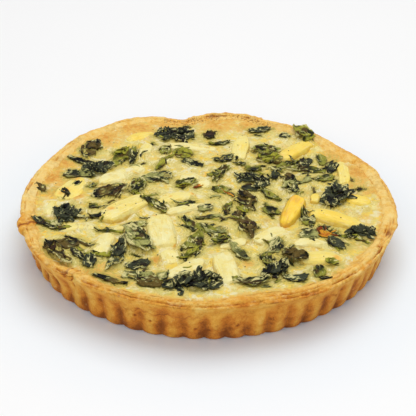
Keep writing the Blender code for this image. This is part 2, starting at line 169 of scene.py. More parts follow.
def lumps(points, size, seed=0):
    """Smooth noise from about -1 to 1 at some points, for lumps of about that size."""
    offset = Vector((seed * 7.3, seed * 3.1, seed * 5.7))
    return np.array([noise.noise(Vector(point) / size + offset) for point in points])


def read_points(piece):
    """The places of a mesh's points, one row each."""
    places = np.empty(len(piece.data.vertices) * 3, np.float32)
    piece.data.vertices.foreach_get("co", places)
    return places.reshape(-1, 3).astype(float)


def write_points(piece, points):
    """Move a mesh's points."""
    piece.data.vertices.foreach_set("co", points.astype(np.float32).ravel())
    piece.data.update()


def read_normals(piece):
    """Which way a mesh's surface faces at each point."""
    normals = np.empty(len(piece.data.vertices) * 3, np.float32)
    piece.data.vertex_normals.foreach_get("vector", normals)
    return normals.reshape(-1, 3).astype(float)


def note(piece, name, values, kind="FLOAT", field="value"):
    """Keep a number, a place or a colour for each point, which the material reads by name."""
    attribute = piece.data.attributes.new(name, kind, "POINT")
    attribute.data.foreach_set(field, np.asarray(values, np.float32).ravel())


def rounded(outline, passes=5):
    """Points along an outline, closer on the rim than on the wall, its corners worn round."""
    rows = []
    for start, end in zip(outline, outline[1:]):
        spacing = RIM_SPACING if start[1] > FLUTE_TOP - 1 * MM else WALL_SPACING
        count = max(1, round(math.dist(start, end) / spacing))
        for step in range(count):
            rows.append([a + (b - a) * step / count for a, b in zip(start, end)])
    rows.append(list(outline[-1]))
    for _ in range(passes):
        worn = [[(a + 2 * b + c) / 4 for a, b, c in zip(*trio)] for trio in zip(rows, rows[1:], rows[2:])]
        rows = [rows[0], *worn, rows[-1]]
    return rows


def turn_case(name):
    """The case before it is shaped: a ring extruded up the outside, over the rim and into the cavity."""
    outline = [
        (FOOT_RADIUS - 1.9 * MM, 0),
        (FOOT_RADIUS, 1.9 * MM),
        (FOOT_RADIUS + 2.4 * MM, 15 * MM),
        (RIM_RADIUS - 2.9 * MM, FLUTE_TOP - 0.7 * MM),
        (RIM_RADIUS - 1.0 * MM, RIM_HEIGHT - 4.6 * MM),
        (RIM_RADIUS + 0.1 * MM, RIM_HEIGHT - 2.2 * MM),
        (RIM_RADIUS - 0.6 * MM, RIM_HEIGHT - 0.2 * MM),
        (SEAM_RADIUS, RIM_HEIGHT - 0.2 * MM),
        (SEAM_RADIUS - 2.2 * MM, RIM_HEIGHT + 0.2 * MM),
        (EDGE_RADIUS, RIM_HEIGHT - 1.2 * MM),
        (CAVITY_RADIUS, RIM_HEIGHT - 4 * MM),
    ]
    rows = rounded(outline) + [(CAVITY_RADIUS - 4 * MM, 4 * MM)]
    bpy.ops.mesh.primitive_circle_add(vertices=COLUMNS, radius=rows[0][0], fill_type="NOTHING")
    case = bpy.context.active_object
    case.name = name
    bpy.ops.object.mode_set(mode="EDIT")
    bpy.ops.mesh.select_all(action="SELECT")
    for (radius, height), (wider, higher) in zip(rows, rows[1:]):
        bpy.ops.mesh.extrude_edges_move()
        share = wider / radius
        bpy.ops.transform.resize(value=(share, share, 1), center_override=(0, 0, 0))
        bpy.ops.transform.translate(value=(0, 0, higher - height))
    bpy.ops.mesh.edge_face_add()
    bpy.ops.mesh.select_all(action="DESELECT")
    bpy.ops.mesh.select_non_manifold()
    bpy.ops.mesh.edge_face_add()
    bpy.ops.mesh.select_all(action="SELECT")
    bpy.ops.mesh.normals_make_consistent(inside=False)
    bpy.ops.object.mode_set(mode="OBJECT")
    return case


def shape_case(case):
    """Flute, crack and roughen the case, and note where it is grooved, cracked and free of the tin."""
    points = read_points(case)
    height = points[:, 2].copy()
    radius = radius_of(points)
    direction = direction_of(points)
    outside = (radius > FOOT_RADIUS - 2 * MM) & (height < RIM_HEIGHT - 1.5 * MM)
    on_rim = ramp(height, RIM_HEIGHT - 5 * MM, RIM_HEIGHT - 2 * MM) * ramp(radius, CAVITY_RADIUS, EDGE_RADIUS)
    reach = wall_reach(direction, radius, height)
    lift = stray(direction, RIM_LIFT) * ramp(height, 17 * MM, RIM_HEIGHT - 4 * MM)

    # The flutes: round scallops of uneven depth, as deep as in the solid.
    flute_draw = random.Random(28)
    strength = np.array([flute_draw.uniform(*FLUTE_STRENGTH) for _ in range(FLUTES)])
    turn = direction / 360 * FLUTES
    wave = np.abs(np.sin(np.pi * (turn % 1)))
    fade = 1 - ramp(height, 15 * MM, FLUTE_TOP + 2 * MM + 1.5 * MM * lumps(points, 14 * MM, 3))
    groove = np.where(outside, (1 - wave ** 0.9) * fade, 0)
    # The grooves' colour note: browning, and painted shade in the hollows, fading out near the rim.
    shade_top = 28.5 * MM + 3 * MM * lumps(points, 7 * MM, 9)
    shade = np.where(outside, (1 - wave ** 2) * (1 - ramp(height, 16 * MM, shade_top)), 0)
    reach -= FLUTE_DEPTH * groove * strength[np.round(turn - 0.5).astype(int) % FLUTES]

    # The rim: its curls and cracks, which wander a little.
    reach += stray(direction, LIP_CURLS) * ramp(radius, SEAM_RADIUS, RIM_RADIUS) * on_rim
    knob_at, knob_width, knob_level, knob_tall, knob_size = KNOB
    knob = 1 - ((direction - knob_at) / knob_width) ** 2 - ((height / MM - knob_level) / knob_tall) ** 2
    knob = np.sqrt(np.clip(knob, 0, 1)) * ramp(radius, SEAM_RADIUS - 1 * MM, RIM_RADIUS - 2 * MM)
    reach += knob_size * MM * knob
    flat = points * (1, 1, 0)
    wander = (lumps(flat, 18 * MM, 5) * 1.1 + lumps(flat, 5 * MM, 13) * 0.35) * MM
    broken = np.clip(0.75 + 1.1 * lumps(flat, 9 * MM, 14), 0.15, 1.2)
    crease = np.zeros_like(radius)
    on_top = ramp(height, RIM_HEIGHT - 2.4 * MM, RIM_HEIGHT - 1.4 * MM)
    for start, end, inset, width, depth in RIM_CRACKS:
        away = (RIM_RADIUS - inset * MM + wander - radius) / (width * MM)
        along_rim = (direction - start) % 360 + start
        crack = np.exp(-away ** 2) * between(along_rim, start, end, 5) * on_top * broken
        lift -= depth * MM * crack
        crease = np.maximum(crease, crack * min(1, depth / 1.6))
    # At the front the outer layer sank below the inner one; at the back a flaky top layer stands up.
    seam_from, seam_to, seam_inset, seam_drop = SEAM
    sunk = ramp(RIM_RADIUS - seam_inset * MM + wander - radius, 0.3 * MM, -0.3 * MM) * on_top
    lift -= seam_drop * MM * sunk * between(direction, seam_from, seam_to, 8)
    flake_from, flake_to, flake_rise = FLAKES
    flake = ramp(radius - SEAM_RADIUS + 3.4 * MM - 1.6 * wander, -0.4 * MM, 0.4 * MM) * on_rim
    uneven = 0.75 + 0.6 * lumps(flat, 4 * MM, 8)
    lift += flake_rise * MM * flake * between(direction, flake_from, flake_to, 0.5) * uneven
    for middle, low, high, half_width, depth in WALL_CRACKS:
        wobble = lumps(points, 4 * MM, 2) * 0.5
        away = (direction + wobble - middle) / half_width
        crack = np.exp(-away ** 2) * between(height, low * MM, high * MM, 2 * MM) * (radius > EDGE_RADIUS)
        reach -= depth * MM * crack
        crease = np.maximum(crease, crack)
    for middle, level in WALL_PITS:
        across = (direction - middle) * math.radians(1) * RIM_RADIUS
        pit = np.exp(-(across ** 2 + (height - level * MM) ** 2) / PIT_WIDTH ** 2) * outside
        reach -= PIT_DEPTH * pit
        crease = np.maximum(crease, 1.4 * pit)

    # The lap at the front, whose lower edge is wavy, and the wrinkles beside it.
    lap_from, lap_to, lap_edge, lap_thickness = LAP
    lap_height = (lap_edge + 1.3 * np.sin(direction * 0.9) + 0.9 * np.sin(direction * 2.3)) * MM
    lap = between(direction, lap_from, lap_to, 3) * outside
    lap_height += 1.2 * MM * lumps(points, 4 * MM, 17)
    lapped = ramp(height - lap_height, -0.5 * MM, 0.3 * MM) * (1 - ramp(height, 24 * MM, 28 * MM))
    reach += lap_thickness * MM * lap * lapped
    crease = np.maximum(crease, 0.6 * lap * np.exp(-((height - lap_height + 0.5 * MM) / (0.6 * MM)) ** 2))
    first_wrinkle, last_wrinkle, spacing, wrinkle_depth = WRINKLES
    wrinkled = between(direction, first_wrinkle, last_wrinkle, 1.5) * outside
    wrinkled = wrinkled * between(height, 23 * MM, 28 * MM, 2 * MM)
    reach += wrinkle_depth * MM * np.sin(direction * math.tau / spacing) * wrinkled

    points[:, :2] *= ((radius + reach) / radius)[:, None]
    points[:, 2] += lift
    points += TIN_AXIS
    write_points(case, points)

    # Baked dough is rough: broad dents, blisters and fine crumbs, less at the foot, which the tin pressed.
    rough = 0.5 * lumps(points, 11 * MM, 1) + 0.38 * lumps(points, 4.5 * MM, 4)
    rough += 0.24 * lumps(points, 1.9 * MM, 6)
    rough *= np.where(outside, 0.55 + 0.35 * ramp(height, 18 * MM, 26 * MM), 1.0)
    inside = ramp(radius, CAVITY_RADIUS - 1 * MM, EDGE_RADIUS)
    above_floor = ramp(height, 0, 1.5 * MM)
    points += read_normals(case) * (rough * inside * above_floor * MM)[:, None]
    points = np.clip(points, np.array(cad_box[0]), np.array(cad_box[1]))
    write_points(case, points)
    # The groove note darkens the finish in the grooves: part browning, part painted shade.
    note(case, "groove", shade * (0.75 + 0.4 * lumps(points, 9 * MM, 12)))
    # The crease note marks cracks, pits and the lap's lower edge; the finish darkens them as painted shade.
    note(case, "crease", np.clip(crease, 0, 1.3))
    lip = on_top * ramp(radius, SEAM_RADIUS - 1 * MM, RIM_RADIUS)
    note(case, "lip", lip * (0.5 + lumps(points, 15 * MM, 15)))
    note(case, "foot", 1 - ramp(height, 3 * MM, 18 * MM))
    # Painted light by direction: paler at the left as a highlight, darker at the front as shade; the knob is
    # browned.
    note(case, "toasted", stray(direction, TOAST_AND_LIGHT) / MM)
    behind_edge = ramp(RIM_RADIUS - radius, 3 * MM, 6 * MM)
    note(case, "scorched", between(direction, flake_from - 3, flake_to + 8, 6) * behind_edge)
    note(case, "rim", np.where(outside, 0.15, 1.0) * ramp(height, 21 * MM, 27 * MM))


class Wire:
    """A shader socket that can stand in a sum: every operation adds its own Math node."""

    def __init__(self, tree, socket):
        self.tree = tree
        self.socket = socket

    def node(self, kind, settings, sockets, output=0):
        """Any other node of this material: its settings come first, and then its sockets' values or links."""
        made = self.tree.nodes.new(kind)
        for name, value in settings.items():
            if name != "stops":
                setattr(made, name, value)
        if "stops" in settings:
            ramp_stops = made.color_ramp.elements
            for _ in settings["stops"][2:]:
                ramp_stops.new(0.5)
            for stop, (place, colour) in zip(ramp_stops, settings["stops"]):
                stop.position = place
                stop.color = (*colour, 1)
        for name, value in sockets.items():
            if isinstance(value, Wire):
                self.tree.links.new(value.socket, made.inputs[name])
            else:
                made.inputs[name].default_value = value
        return Wire(self.tree, made.outputs[output])

    def math(self, operation, first, second=0.0):
        return self.node("ShaderNodeMath", {"operation": operation}, {0: first, 1: second})

    def __add__(self, other):
        return self.math("ADD", self, other)

    def __radd__(self, other):
        return self.math("ADD", other, self)

    def __sub__(self, other):
        return self.math("SUBTRACT", self, other)

    def __rsub__(self, other):
        return self.math("SUBTRACT", other, self)

    def __mul__(self, other):
        return self.math("MULTIPLY", self, other)

    def __rmul__(self, other):
        return self.math("MULTIPLY", other, self)

    def masks(self, under, over):
        """One colour under another, which shows where this is 1."""
        colours = {place: colour if isinstance(colour, Wire) else (*colour, 1)
                   for place, colour in ((6, under), (7, over))}
        return self.node("ShaderNodeMix", {"data_type": "RGBA"}, {0: self, **colours}, output=2)

    def graded(self, *stops):
        """The colour of a ramp of stops, each a place and its colour, at this number."""
        return self.node("ShaderNodeValToRGB", {"stops": stops}, {"Fac": self})

    def step(self, low, high):
        """0 below low and 1 above high."""
        settings = {"interpolation_type": "SMOOTHSTEP"}
        return self.node("ShaderNodeMapRange", settings, {"Value": self, "From Min": low, "From Max": high})

    def speckle(self, size, detail=2.0, roughness=0.5, distortion=0.0):
        """Noise of a size in metres, where this is a place, spread out to about -1 to 1."""
        sockets = {"Vector": self, "Scale": 1 / size, "Detail": detail, "Roughness": roughness,
                   "Distortion": distortion}
        return (self.node("ShaderNodeTexNoise", {}, sockets) - 0.5) * 4

    def noted(self, name, output=2):
        """What was noted for each point: output 0 is a colour, 1 a place and 2 a number."""
        return self.node("ShaderNodeAttribute", {"attribute_name": name}, {}, output)


def linear(red, green, blue):
    """A colour as the photograph's 0 to 255 values, for a shader socket."""
    return tuple((level / 255 / 12.92 if level <= 10 else ((level / 255 + 0.055) / 1.055) ** 2.4)
                 for level in (red, green, blue))


def new_finish(name):
    """An empty material, its shader node, and the place on the object as a first wire."""
    material = bpy.data.materials.new(name)
    material.use_nodes = True
    tree = material.node_tree
    place = tree.nodes.new("ShaderNodeTexCoord")
    return material, tree.nodes["Principled BSDF"], Wire(tree, place.outputs["Object"])


def connect(shader, colour, roughness, relief, depth, sheen=0.5):
    """Link a material's colour and roughness, and its relief as a bump of some depth in metres."""
    shader.inputs["Specular IOR Level"].default_value = sheen
    tree = colour.tree
    bump = relief.node("ShaderNodeBump", {}, {"Strength": 1.0, "Distance": depth, "Height": relief})
    tree.links.new(colour.socket, shader.inputs["Base Color"])
    tree.links.new(roughness.socket, shader.inputs["Roughness"])
    tree.links.new(bump.socket, shader.inputs["Normal"])


def pastry_finish():
    """Baked shortcrust: pale where thin, golden all over, brown in grooves, cracks and pits, with painted
    shade.
    """
    material, shader, place = new_finish("baked pastry")
    cloud = place.speckle(16 * MM, 3.0)
    mottle = place.speckle(4.5 * MM, 4.0, 0.6)
    crumb = place.speckle(0.7 * MM, 3.0, 0.6)
    flaky = place.speckle(2.2 * MM, 4.0, 0.7) * place.noted("rim")
    fine_line = place.math("ABSOLUTE", place.speckle(9 * MM, 5.0, 0.6, 1.0))
    crackled = (place.speckle(12 * MM, 2.0) + 0.3 * place.noted("rim")).step(-0.1, 0.4)
    crackle = (1 - fine_line.step(0.0, 0.13)) * crackled
    # The toasted note brings painted highlight and painted shade by direction into the bake.
    bake = (0.51 + place.noted("toasted") - 0.12 * place.noted("rim") + 0.18 * cloud + 0.14 * mottle
            + 0.10 * crumb + 0.15 * place.noted("foot") + 0.12 * flaky + 0.08 * crackle
            + 0.42 * place.noted("groove") + 0.34 * place.noted("lip") + 0.30 * place.noted("crease"))
    colour = bake.graded(
        (0.08, linear(249, 220, 142)), (0.32, linear(244, 199, 102)), (0.54, linear(232, 168, 64)),
        (0.78, linear(206, 124, 38)), (1.00, linear(150, 82, 26)))
    # Painted shade: the cracks, pits and the lap's lower edge are darkened where they hollow the surface.
    crack_shade = (place.noted("crease") + 0.15 * mottle).step(0.35, 0.95)
    colour = (crack_shade * 0.75).masks(colour, linear(160, 84, 26))
    # Painted highlight: pale mottles on the rim, strongest at the left.
    rim_highlight_mottle = place.speckle(3.6 * MM, 4.0, 0.65) + 0.5 * place.noted("rim") - 3 * place.noted("toasted")
    colour = (rim_highlight_mottle.step(0.35, 1.1) * 0.35).masks(colour, linear(249, 222, 152))
    scorch = (place.speckle(1.5 * MM, 3.0, 0.6) * place.noted("scorched")).step(0.1, 0.4)
    colour = (scorch * 0.75).masks(colour, linear(150, 84, 30))
    relief = mottle * 0.5 + crumb * 0.4 + place.speckle(1.8 * MM, 3.0) * 0.5 + flaky * 0.5 - crackle * 0.7
    connect(shader, colour, 0.72 + 0.08 * mottle, relief, 0.32 * MM, sheen=0.2)
    return material


case = turn_case("pastry_case")
shape_case(case)
case.data.materials.append(pastry_finish())
bpy.ops.object.shade_smooth()
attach(case, "root")
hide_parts("crust")


# ---- The asparagus ---------------------------------------------------------------------------------------
# White asparagus, cut in short pieces and cooked soft before it went in. Most pieces are cream slabs that lie
# nearly level with the custard; the tips and those at the right stand out and have turned a glossy golden
# yellow.
FIBRE = 1.6 * MM
# How golden each piece is, from 0, cream, to 1; the rest are PALE. Those past ROUND_FROM stayed round.
PALE = 0.06
ROUND_FROM = 0.4
GOLDEN = {
    1: 0.55, 3: 0.25, 4: 0.15, 5: 0.5, 9: 0.38, 11: 0.25, 13: 0.28,
    22: 0.85, 23: 0.6, 24: 0.52, 25: 0.62, 26: 0.4, 27: 0.42, 30: 0.2,
}
# How a round piece and a slab are worn: cuts, passes of softening after them, and power of flattening.
ROUND_SHAPE = (2, 3, 0.75)
SLAB_SHAPE = (7, 2, 0.42)
CUT_SEED = 60
# Spots that the oven scorched: x, y and radius, in millimetres, and how strongly.
SCORCHED = [
    (-99, 17, 4.5, 1.3), (-32, -84, 4, 1.3), (-12, 2, 4, 1.3), (-28, -6, 2, 1.3), (-38, -33, 2.5, 1.3),
    (-20, -44, 3, 1.3), (-21, -68, 2.5, 1.3), (84, -75, 4, 1.3), (-70, 86, 3, 1.3), (-68, -28, 5, 1.3),
    (-105, -3, 6, 1.3), (54, 60, 4, 1.3),
]


def copy_of(node, name):
    """A copy of a solid, its points merged and its faces divided, for the finer piece that stands for it."""
    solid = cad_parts[node]
    piece = bpy.data.objects.new(name, solid.data.copy())
    bpy.context.scene.collection.objects.link(piece)
    bpy.ops.object.select_all(action="DESELECT")
    bpy.context.view_layer.objects.active = piece
    piece.select_set(True)
    bpy.ops.object.mode_set(mode="EDIT")
    bpy.ops.mesh.select_all(action="SELECT")
    bpy.ops.mesh.remove_doubles(threshold=0.01 * MM)
    bpy.ops.object.mode_set(mode="OBJECT")
    fine = piece.modifiers.new("fine", "SUBSURF")
    fine.subdivision_type = "SIMPLE"
    fine.levels = fine.render_levels = 3
    bpy.ops.object.modifier_apply(modifier=fine.name)
    piece.data.materials.clear()
    for layer in list(piece.data.color_attributes):
        piece.data.color_attributes.remove(layer)
    return piece


def soften(piece, repeat):
    """Wear a piece's corners round."""
    bpy.ops.object.mode_set(mode="EDIT")
    bpy.ops.mesh.select_all(action="SELECT")
    bpy.ops.mesh.vertices_smooth(factor=0.5, repeat=repeat)
    bpy.ops.object.mode_set(mode="OBJECT")


def long_axis(points):
    """The middle of some points, and the level direction in which they stretch furthest."""
    middle = points.mean(axis=0)
    spread = np.cov((points - middle)[:, :2].T)
    along = np.linalg.eigh(spread)[1][:, -1]
    return middle, np.array([along[0], along[1], 0.0])


def across_from(along):
    """The level direction square to another."""
    return np.array([-along[1], along[0], 0.0])


def measure(points, middle, along):
    """How far some points lie along, across and above a piece's middle."""
    apart = points - middle
    return apart @ along, apart @ across_from(along), apart[:, 2]


def spotted(points, places):
    """How far each point is inside the strongest of some round soft spots: x, y, radius in mm, strength."""
    share = np.zeros(len(points))
    for x, y, radius, strength in places:
        away = np.hypot(points[:, 0] - x * MM, points[:, 1] - y * MM) / (radius * MM)
        share = np.maximum(share, strength * np.exp(-away ** 2))
    return share


def flatten(points, power):
    """Fill out a rounded piece's shoulders, so that it is as wide near its top as lower down."""
    middle = (points[:, 2].min() + points[:, 2].max()) / 2
    half = points[:, 2].max() - middle
    share = np.clip((points[:, 2] - middle) / half, 0, 1)
    points[:, 2] = np.where(share > 0, middle + half * share ** power, points[:, 2])
    return points


def cut_flat(points, cuts, draw):
    """Cut a rounded piece with slanting planes, into the flat-topped and angular slab that a knife leaves."""
    for count in range(cuts):
        facing = draw.uniform(0, math.tau)
        on_top = count % 2
        tilt = math.radians(draw.uniform(3, 14) if on_top else draw.uniform(48, 74))
        depth = draw.uniform(0.3, 0.9) * MM if on_top else draw.uniform(0.5, 1.6) * MM
        lean = math.sin(tilt)
        facet = np.array((math.cos(facing) * lean, math.sin(facing) * lean, math.cos(tilt)))
        height = points @ facet
        points = points - facet * np.maximum(height - (height.max() - depth), 0)[:, None]
    return points


def asparagus_finish():
    """Soft white asparagus: cream with faint fibres, yellow to gold where it dried, a moist sheen, painted
    shade on its sides.
    """
    material, shader, place = new_finish("asparagus")
    fibre = place.noted("fibre", 1)
    streak = fibre.speckle(FIBRE, 2.0)
    cloud = place.speckle(7 * MM, 3.0)
    grain = place.speckle(1.2 * MM, 3.0)
    gold = place.noted("gold") + 0.12 * streak + 0.15 * cloud
    plain_share = 1 - 0.8 * place.noted("gold")
    colour = gold.graded(
        (0.0, linear(237, 226, 158)), (0.22, linear(239, 221, 126)), (0.5, linear(244, 216, 90)),
        (0.8, linear(250, 208, 50)), (1.0, linear(244, 184, 38)))
    pale_streak = (0.8 * streak + 0.3 * grain).step(0.1, 0.6) * 0.5 * plain_share
    colour = pale_streak.masks(colour, linear(247, 241, 196))
    dark_streak = (0.8 * fibre.speckle(1.1 * MM, 3.0, 0.6) + 0.4 * cloud).step(0.25, 0.7) * 0.5
    colour = dark_streak.masks(colour, linear(224, 186, 76))
    # Painted shade: where the surface turns away from up, down the pieces' sides, it is darker gold, with
    # more skin.
    side = (place.noted("side") + 0.3 * cloud).step(0.3, 0.9)
    colour = (side * 0.65).masks(colour, linear(208, 166, 58))
    brown = place.noted("brown") * (0.3 * cloud + 0.7)
    colour = brown.step(0.35, 1.0).masks(colour, linear(238, 170, 48))
    blister = place.speckle(3.2 * MM, 2.0).step(0.6, 1.0)
    colour = (blister * 0.55).masks(colour, linear(242, 204, 84))
    skin = place.speckle(6 * MM, 4.0, 0.6) - 0.6 * place.noted("gold") + 0.4 * place.noted("side")
    skin = skin.step(0.0, 0.5)
    colour = (skin * 0.8 * plain_share).masks(colour, linear(234, 212, 122))
    roughness = 0.42 + 0.06 * cloud + 0.15 * skin
    connect(shader, colour, roughness, streak * 0.7 + grain * 0.5 + skin * 0.9, 0.2 * MM, sheen=0.45)
    return material


asparagus_look = asparagus_finish()
asparagus_nodes = sorted(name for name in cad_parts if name.startswith("asparagus_"))
pale_asparagus, golden_asparagus = [], []
for number, node in enumerate(asparagus_nodes, start=1):
    low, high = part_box(node)
    piece = copy_of(node, f"spear_piece_{number:02d}")
    gold = GOLDEN.get(number, PALE)
    cuts, passes, power = ROUND_SHAPE if gold > ROUND_FROM else SLAB_SHAPE
    soften(piece, 5)
    points = flatten(read_points(piece), power)
    write_points(piece, cut_flat(points, cuts, random.Random(CUT_SEED + number)))
    soften(piece, passes)
    points = read_points(piece)
    # Cutting and softening draw the piece in, so it is stretched back to the solid's box.
    size = points.max(axis=0) - points.min(axis=0)
    points = (points - points.min(axis=0)) / size * np.array(high - low) + np.array(low)
    write_points(piece, points)
    middle, along = long_axis(points)
    length, side, rise = measure(points, middle, along)
    normals = read_normals(piece)
    dent = 0.35 * lumps(points, 8 * MM, 2) + 0.22 * lumps(points, 3 * MM, 3)
    ridge = 0.14 * np.sin(side / (1.1 * MM) + 2 * lumps(points, 12 * MM, 5))
    points += normals * ((dent + ridge) * MM)[:, None]
    points = np.clip(points, np.array(low) - 0.2 * MM, np.array(high))
    write_points(piece, points)
    end_share = ramp(np.abs(length) / np.abs(length).max(), 0.55, 1.0)
    uneven = 0.16 * lumps(points, 12 * MM, number) + 0.1 * end_share * lumps(points, 14 * MM, 4)
    note(piece, "gold", gold + uneven)
    brown = end_share * (0.25 + 0.8 * gold) * (0.5 + lumps(points, 10 * MM, 7))
    note(piece, "brown", np.maximum(brown, spotted(points, SCORCHED)))
    # The side note: how far the surface turns away from up, for the painted shade on the pieces' sides.
    note(piece, "side", 1 - ramp(normals[:, 2], 0.2, 0.8))
    note(piece, "fibre", np.column_stack([length * 0.12, side, rise]), "FLOAT_VECTOR", "vector")
    piece.data.materials.append(asparagus_look)
    bpy.ops.object.shade_smooth()
    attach(piece, "root")
    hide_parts(node)
    (golden_asparagus if gold > ROUND_FROM else pale_asparagus).append(piece)
asparagus = pale_asparagus + golden_asparagus


# ---- The large leaves ------------------------------------------------------------------------------------
# Whole wilted leaves that lie on the filling, dark and crumpled, with paler veins and dry olive or brown
# edges. Those that are frilly are bunches of smaller leaves that the oven dried to a crisp.

# Each tone is its deepest, its usual and its palest colour, and the colour of its withered patches.
LEAF_COLOURS = {
    "black": (linear(5, 6, 5), linear(16, 17, 13), linear(66, 70, 50), linear(40, 28, 14)),
    "green": (linear(20, 22, 7), linear(62, 66, 22), linear(156, 154, 56), linear(80, 56, 22)),
    "grey": (linear(34, 36, 20), linear(92, 97, 54), linear(178, 176, 102), linear(92, 74, 36)),
    "olive": (linear(36, 38, 6), linear(104, 106, 24), linear(176, 172, 56), linear(98, 70, 22)),
    "brown": (linear(16, 12, 5), linear(44, 33, 14), linear(108, 88, 38), linear(72, 44, 22)),
    "rust": (linear(130, 58, 14), linear(204, 112, 22), linear(232, 164, 46), linear(146, 60, 18)),
}
# How much custard has dried on a leaf of each tone, and how streaky it is.
FILM = {"black": 0.17, "green": 0.17, "grey": 0.22, "olive": 0.0, "brown": 0.0, "rust": -0.3}
STREAKY = {"black": 0.15, "green": 0.65, "grey": 0.65, "olive": 0.45, "brown": 0.4, "rust": 0.1}
LEAF_TONES = [
    "brown", "olive", "black", "grey", "green", "brown", "olive", "black", "olive", "green", "olive",
    "green", "green", "black", "grey", "black", "brown", "black", "brown", "black", "grey", "grey", "black",
    "green", "brown", "black", "brown", "black",
]
# How frayed the edges of some leaves are; these are the bunches.
FRILLY = {3: 0.7, 8: 1.4, 14: 0.5, 16: 1.2, 18: 0.8, 23: 1.4, 26: 0.6}
LEAF_SEED = 20
STREAK_SHARE = 0.3


def blend(under, over, share):
    """Colours mixed with others, row by row."""
    return under + (np.asarray(over) - under) * np.clip(share, 0, 1)[:, None]


def ridges(points, size, seed):
    """Sharp creases of about some size: 1 along them, and down to about -1 between them."""
    return 1 - 2 * np.abs(lumps(points, size, seed)) ** 0.8


def blade_colours(points, tone, edge, seed):
    """A wilted leaf's colours at some points: deep to usual in patches, pale where it is thin, withered in
    patches.
    """
    deep, usual, pale, withered = LEAF_COLOURS[tone]
    patch = lumps(points, 8 * MM, seed)
    vein = 1 - 3 * np.abs(lumps(points, 4 * MM, seed + 9))
    depth = -0.08 if tone == "black" else -0.2
    colours = blend(np.tile(deep, (len(points), 1)), usual, ramp(patch + 0.15 * vein, depth, depth + 0.2))
    colours = blend(colours, withered, 0.8 * ramp(lumps(points, 9 * MM, seed + 5), 0.1, 0.3))
    return blend(colours, pale, ramp(patch + 0.12 * vein + 0.25 * edge, 0.02, 0.26))


def dress_leaf(piece, points, tone, edge, seed, middle, along, crease, film):
    """Give a leaf or a shred what the leaf's material reads, and the material."""
    colours = blade_colours(points, tone, edge, seed)
    note(piece, "own_colour", np.column_stack([colours, np.ones(len(colours))]), "FLOAT_COLOR", "color")
    note(piece, "ridge", crease)
    note(piece, "film", FILM[tone] + film)
    note(piece, "streaky", np.full(len(points), STREAKY[tone]))
    length, side, rise = measure(points, middle, along)
    note(piece, "blade", np.column_stack([length * STREAK_SHARE, side, rise]), "FLOAT_VECTOR", "vector")
    piece.data.materials.append(leaf_look)
    bpy.ops.object.shade_smooth()


def crumple(piece, frill, seed):
    """Fold, crease and tear a leaf. Both faces move alike, so it stays as thick as it is."""
    points = read_points(piece)
    flat = points * (1, 1, 0)
    fold = lumps(flat, 10 * MM, seed + 6)
    ridge, crease = ridges(flat, 7 * MM, seed), ridges(flat, 3.2 * MM, seed + 1)
    sideways = np.column_stack([lumps(flat, 7 * MM, seed + 2), lumps(flat, 7 * MM, seed + 3)])
    frayed = np.column_stack([lumps(flat, 2.6 * MM, seed + 4), lumps(flat, 2.6 * MM, seed + 5)])
    points[:, :2] += ((3.0 + 0.8 * frill) * sideways + (0.25 + 1.1 * frill) * frayed) * MM
    points[:, 2] += (1.3 * fold + 0.5 * ridge - 0.2 + (0.15 + 0.6 * frill) * crease) * MM
    points[:, 2] = np.minimum(points[:, 2], cad_box[1].z - 0.2 * MM)
    write_points(piece, points)
    return ridge, crease


def leaf_finish():
    """Wilted leaf: dark, faintly waxy, paler veins, painted highlights on ridges, custard dried in its
    creases.
    """
    material, shader, place = new_finish("wilted leaf")
    own, blade = place.noted("own_colour", 0), place.noted("blade", 1)
    cloud = place.speckle(5 * MM, 3.0)
    fleck = place.speckle(1.2 * MM, 3.0, 0.6)
    streak = blade.speckle(1.3 * MM, 3.0, 0.6, 0.8)
    streaky = place.noted("streaky")
    # Paler on the veins, and on the ridges as a painted highlight.
    pale = (place.noted("ridge") * 0.3 + 0.55 * streak + 0.2 * cloud).step(0.3, 0.75)
    colour = (pale * streaky).masks(own, linear(158, 154, 62))
    deep = (0.3 * cloud + 0.7 * streak).step(0.1, 0.45)
    colour = (deep * (0.35 + 0.5 * streaky)).masks(colour, linear(24, 20, 4))
    veil = blade.speckle(2.7 * MM, 3.0, 0.55, 1.0)
    film = place.noted("film") + 0.62 * veil + 0.3 * cloud
    colour = (film.step(0.14, 0.4) * 0.65).masks(colour, linear(150, 153, 90))
    colour = (film.step(0.3, 0.5) * 0.92).masks(colour, linear(230, 219, 150))
    relief = streak * 0.8 + place.speckle(2.6 * MM, 4.0, 0.6) + fleck * 0.3
    connect(shader, colour, 0.4 + 0.1 * fleck, relief, 0.4 * MM, sheen=0.14)
    return material


leaf_look = leaf_finish()
leaf_nodes = sorted(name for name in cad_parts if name.startswith("leaf_"))
plain, frilled = [], []
# Each leaf's and shred's middle, its direction, half its length and half its width.
blades = []
for number, (node, tone) in enumerate(zip(leaf_nodes, LEAF_TONES), start=1):
    piece = copy_of(node, f"wilted_leaf_{number:02d}")
    soften(piece, 2)
    ridge, crease = crumple(piece, FRILLY.get(number, 0.0), LEAF_SEED + number)
    points = read_points(piece)
    middle, along = long_axis(points)
    length, side, _ = measure(points, middle, along)
    half_length, half_width = np.abs(length).max(), np.abs(side).max()
    edge = ramp(np.hypot(length / half_length, side / half_width), 0.5, 0.95)
    film = (0.15 if number in FRILLY else 0.45) * edge ** 2 - 0.15 * crease
    dress_leaf(piece, points, tone, edge, LEAF_SEED + number, middle, along, np.maximum(ridge, crease), film)
    blades.append((middle, along, half_length, half_width))
    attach(piece, "root")
    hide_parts(node)
    (frilled if number in FRILLY else plain).append(piece)
leaves = plain + frilled


# ---- The custard -----------------------------------------------------------------------------------------
# Egg custard poured round the asparagus and leaves and baked set. It is curdled and softly lumpy, creeps up
# whatever stands in it, films over parts of the leaves, and has browned where it was thin along the pastry.
CUSTARD_LEVEL = 28.3 * MM
CUSTARD_SWELL = 0.9 * MM
CUSTARD_CELLS = 250
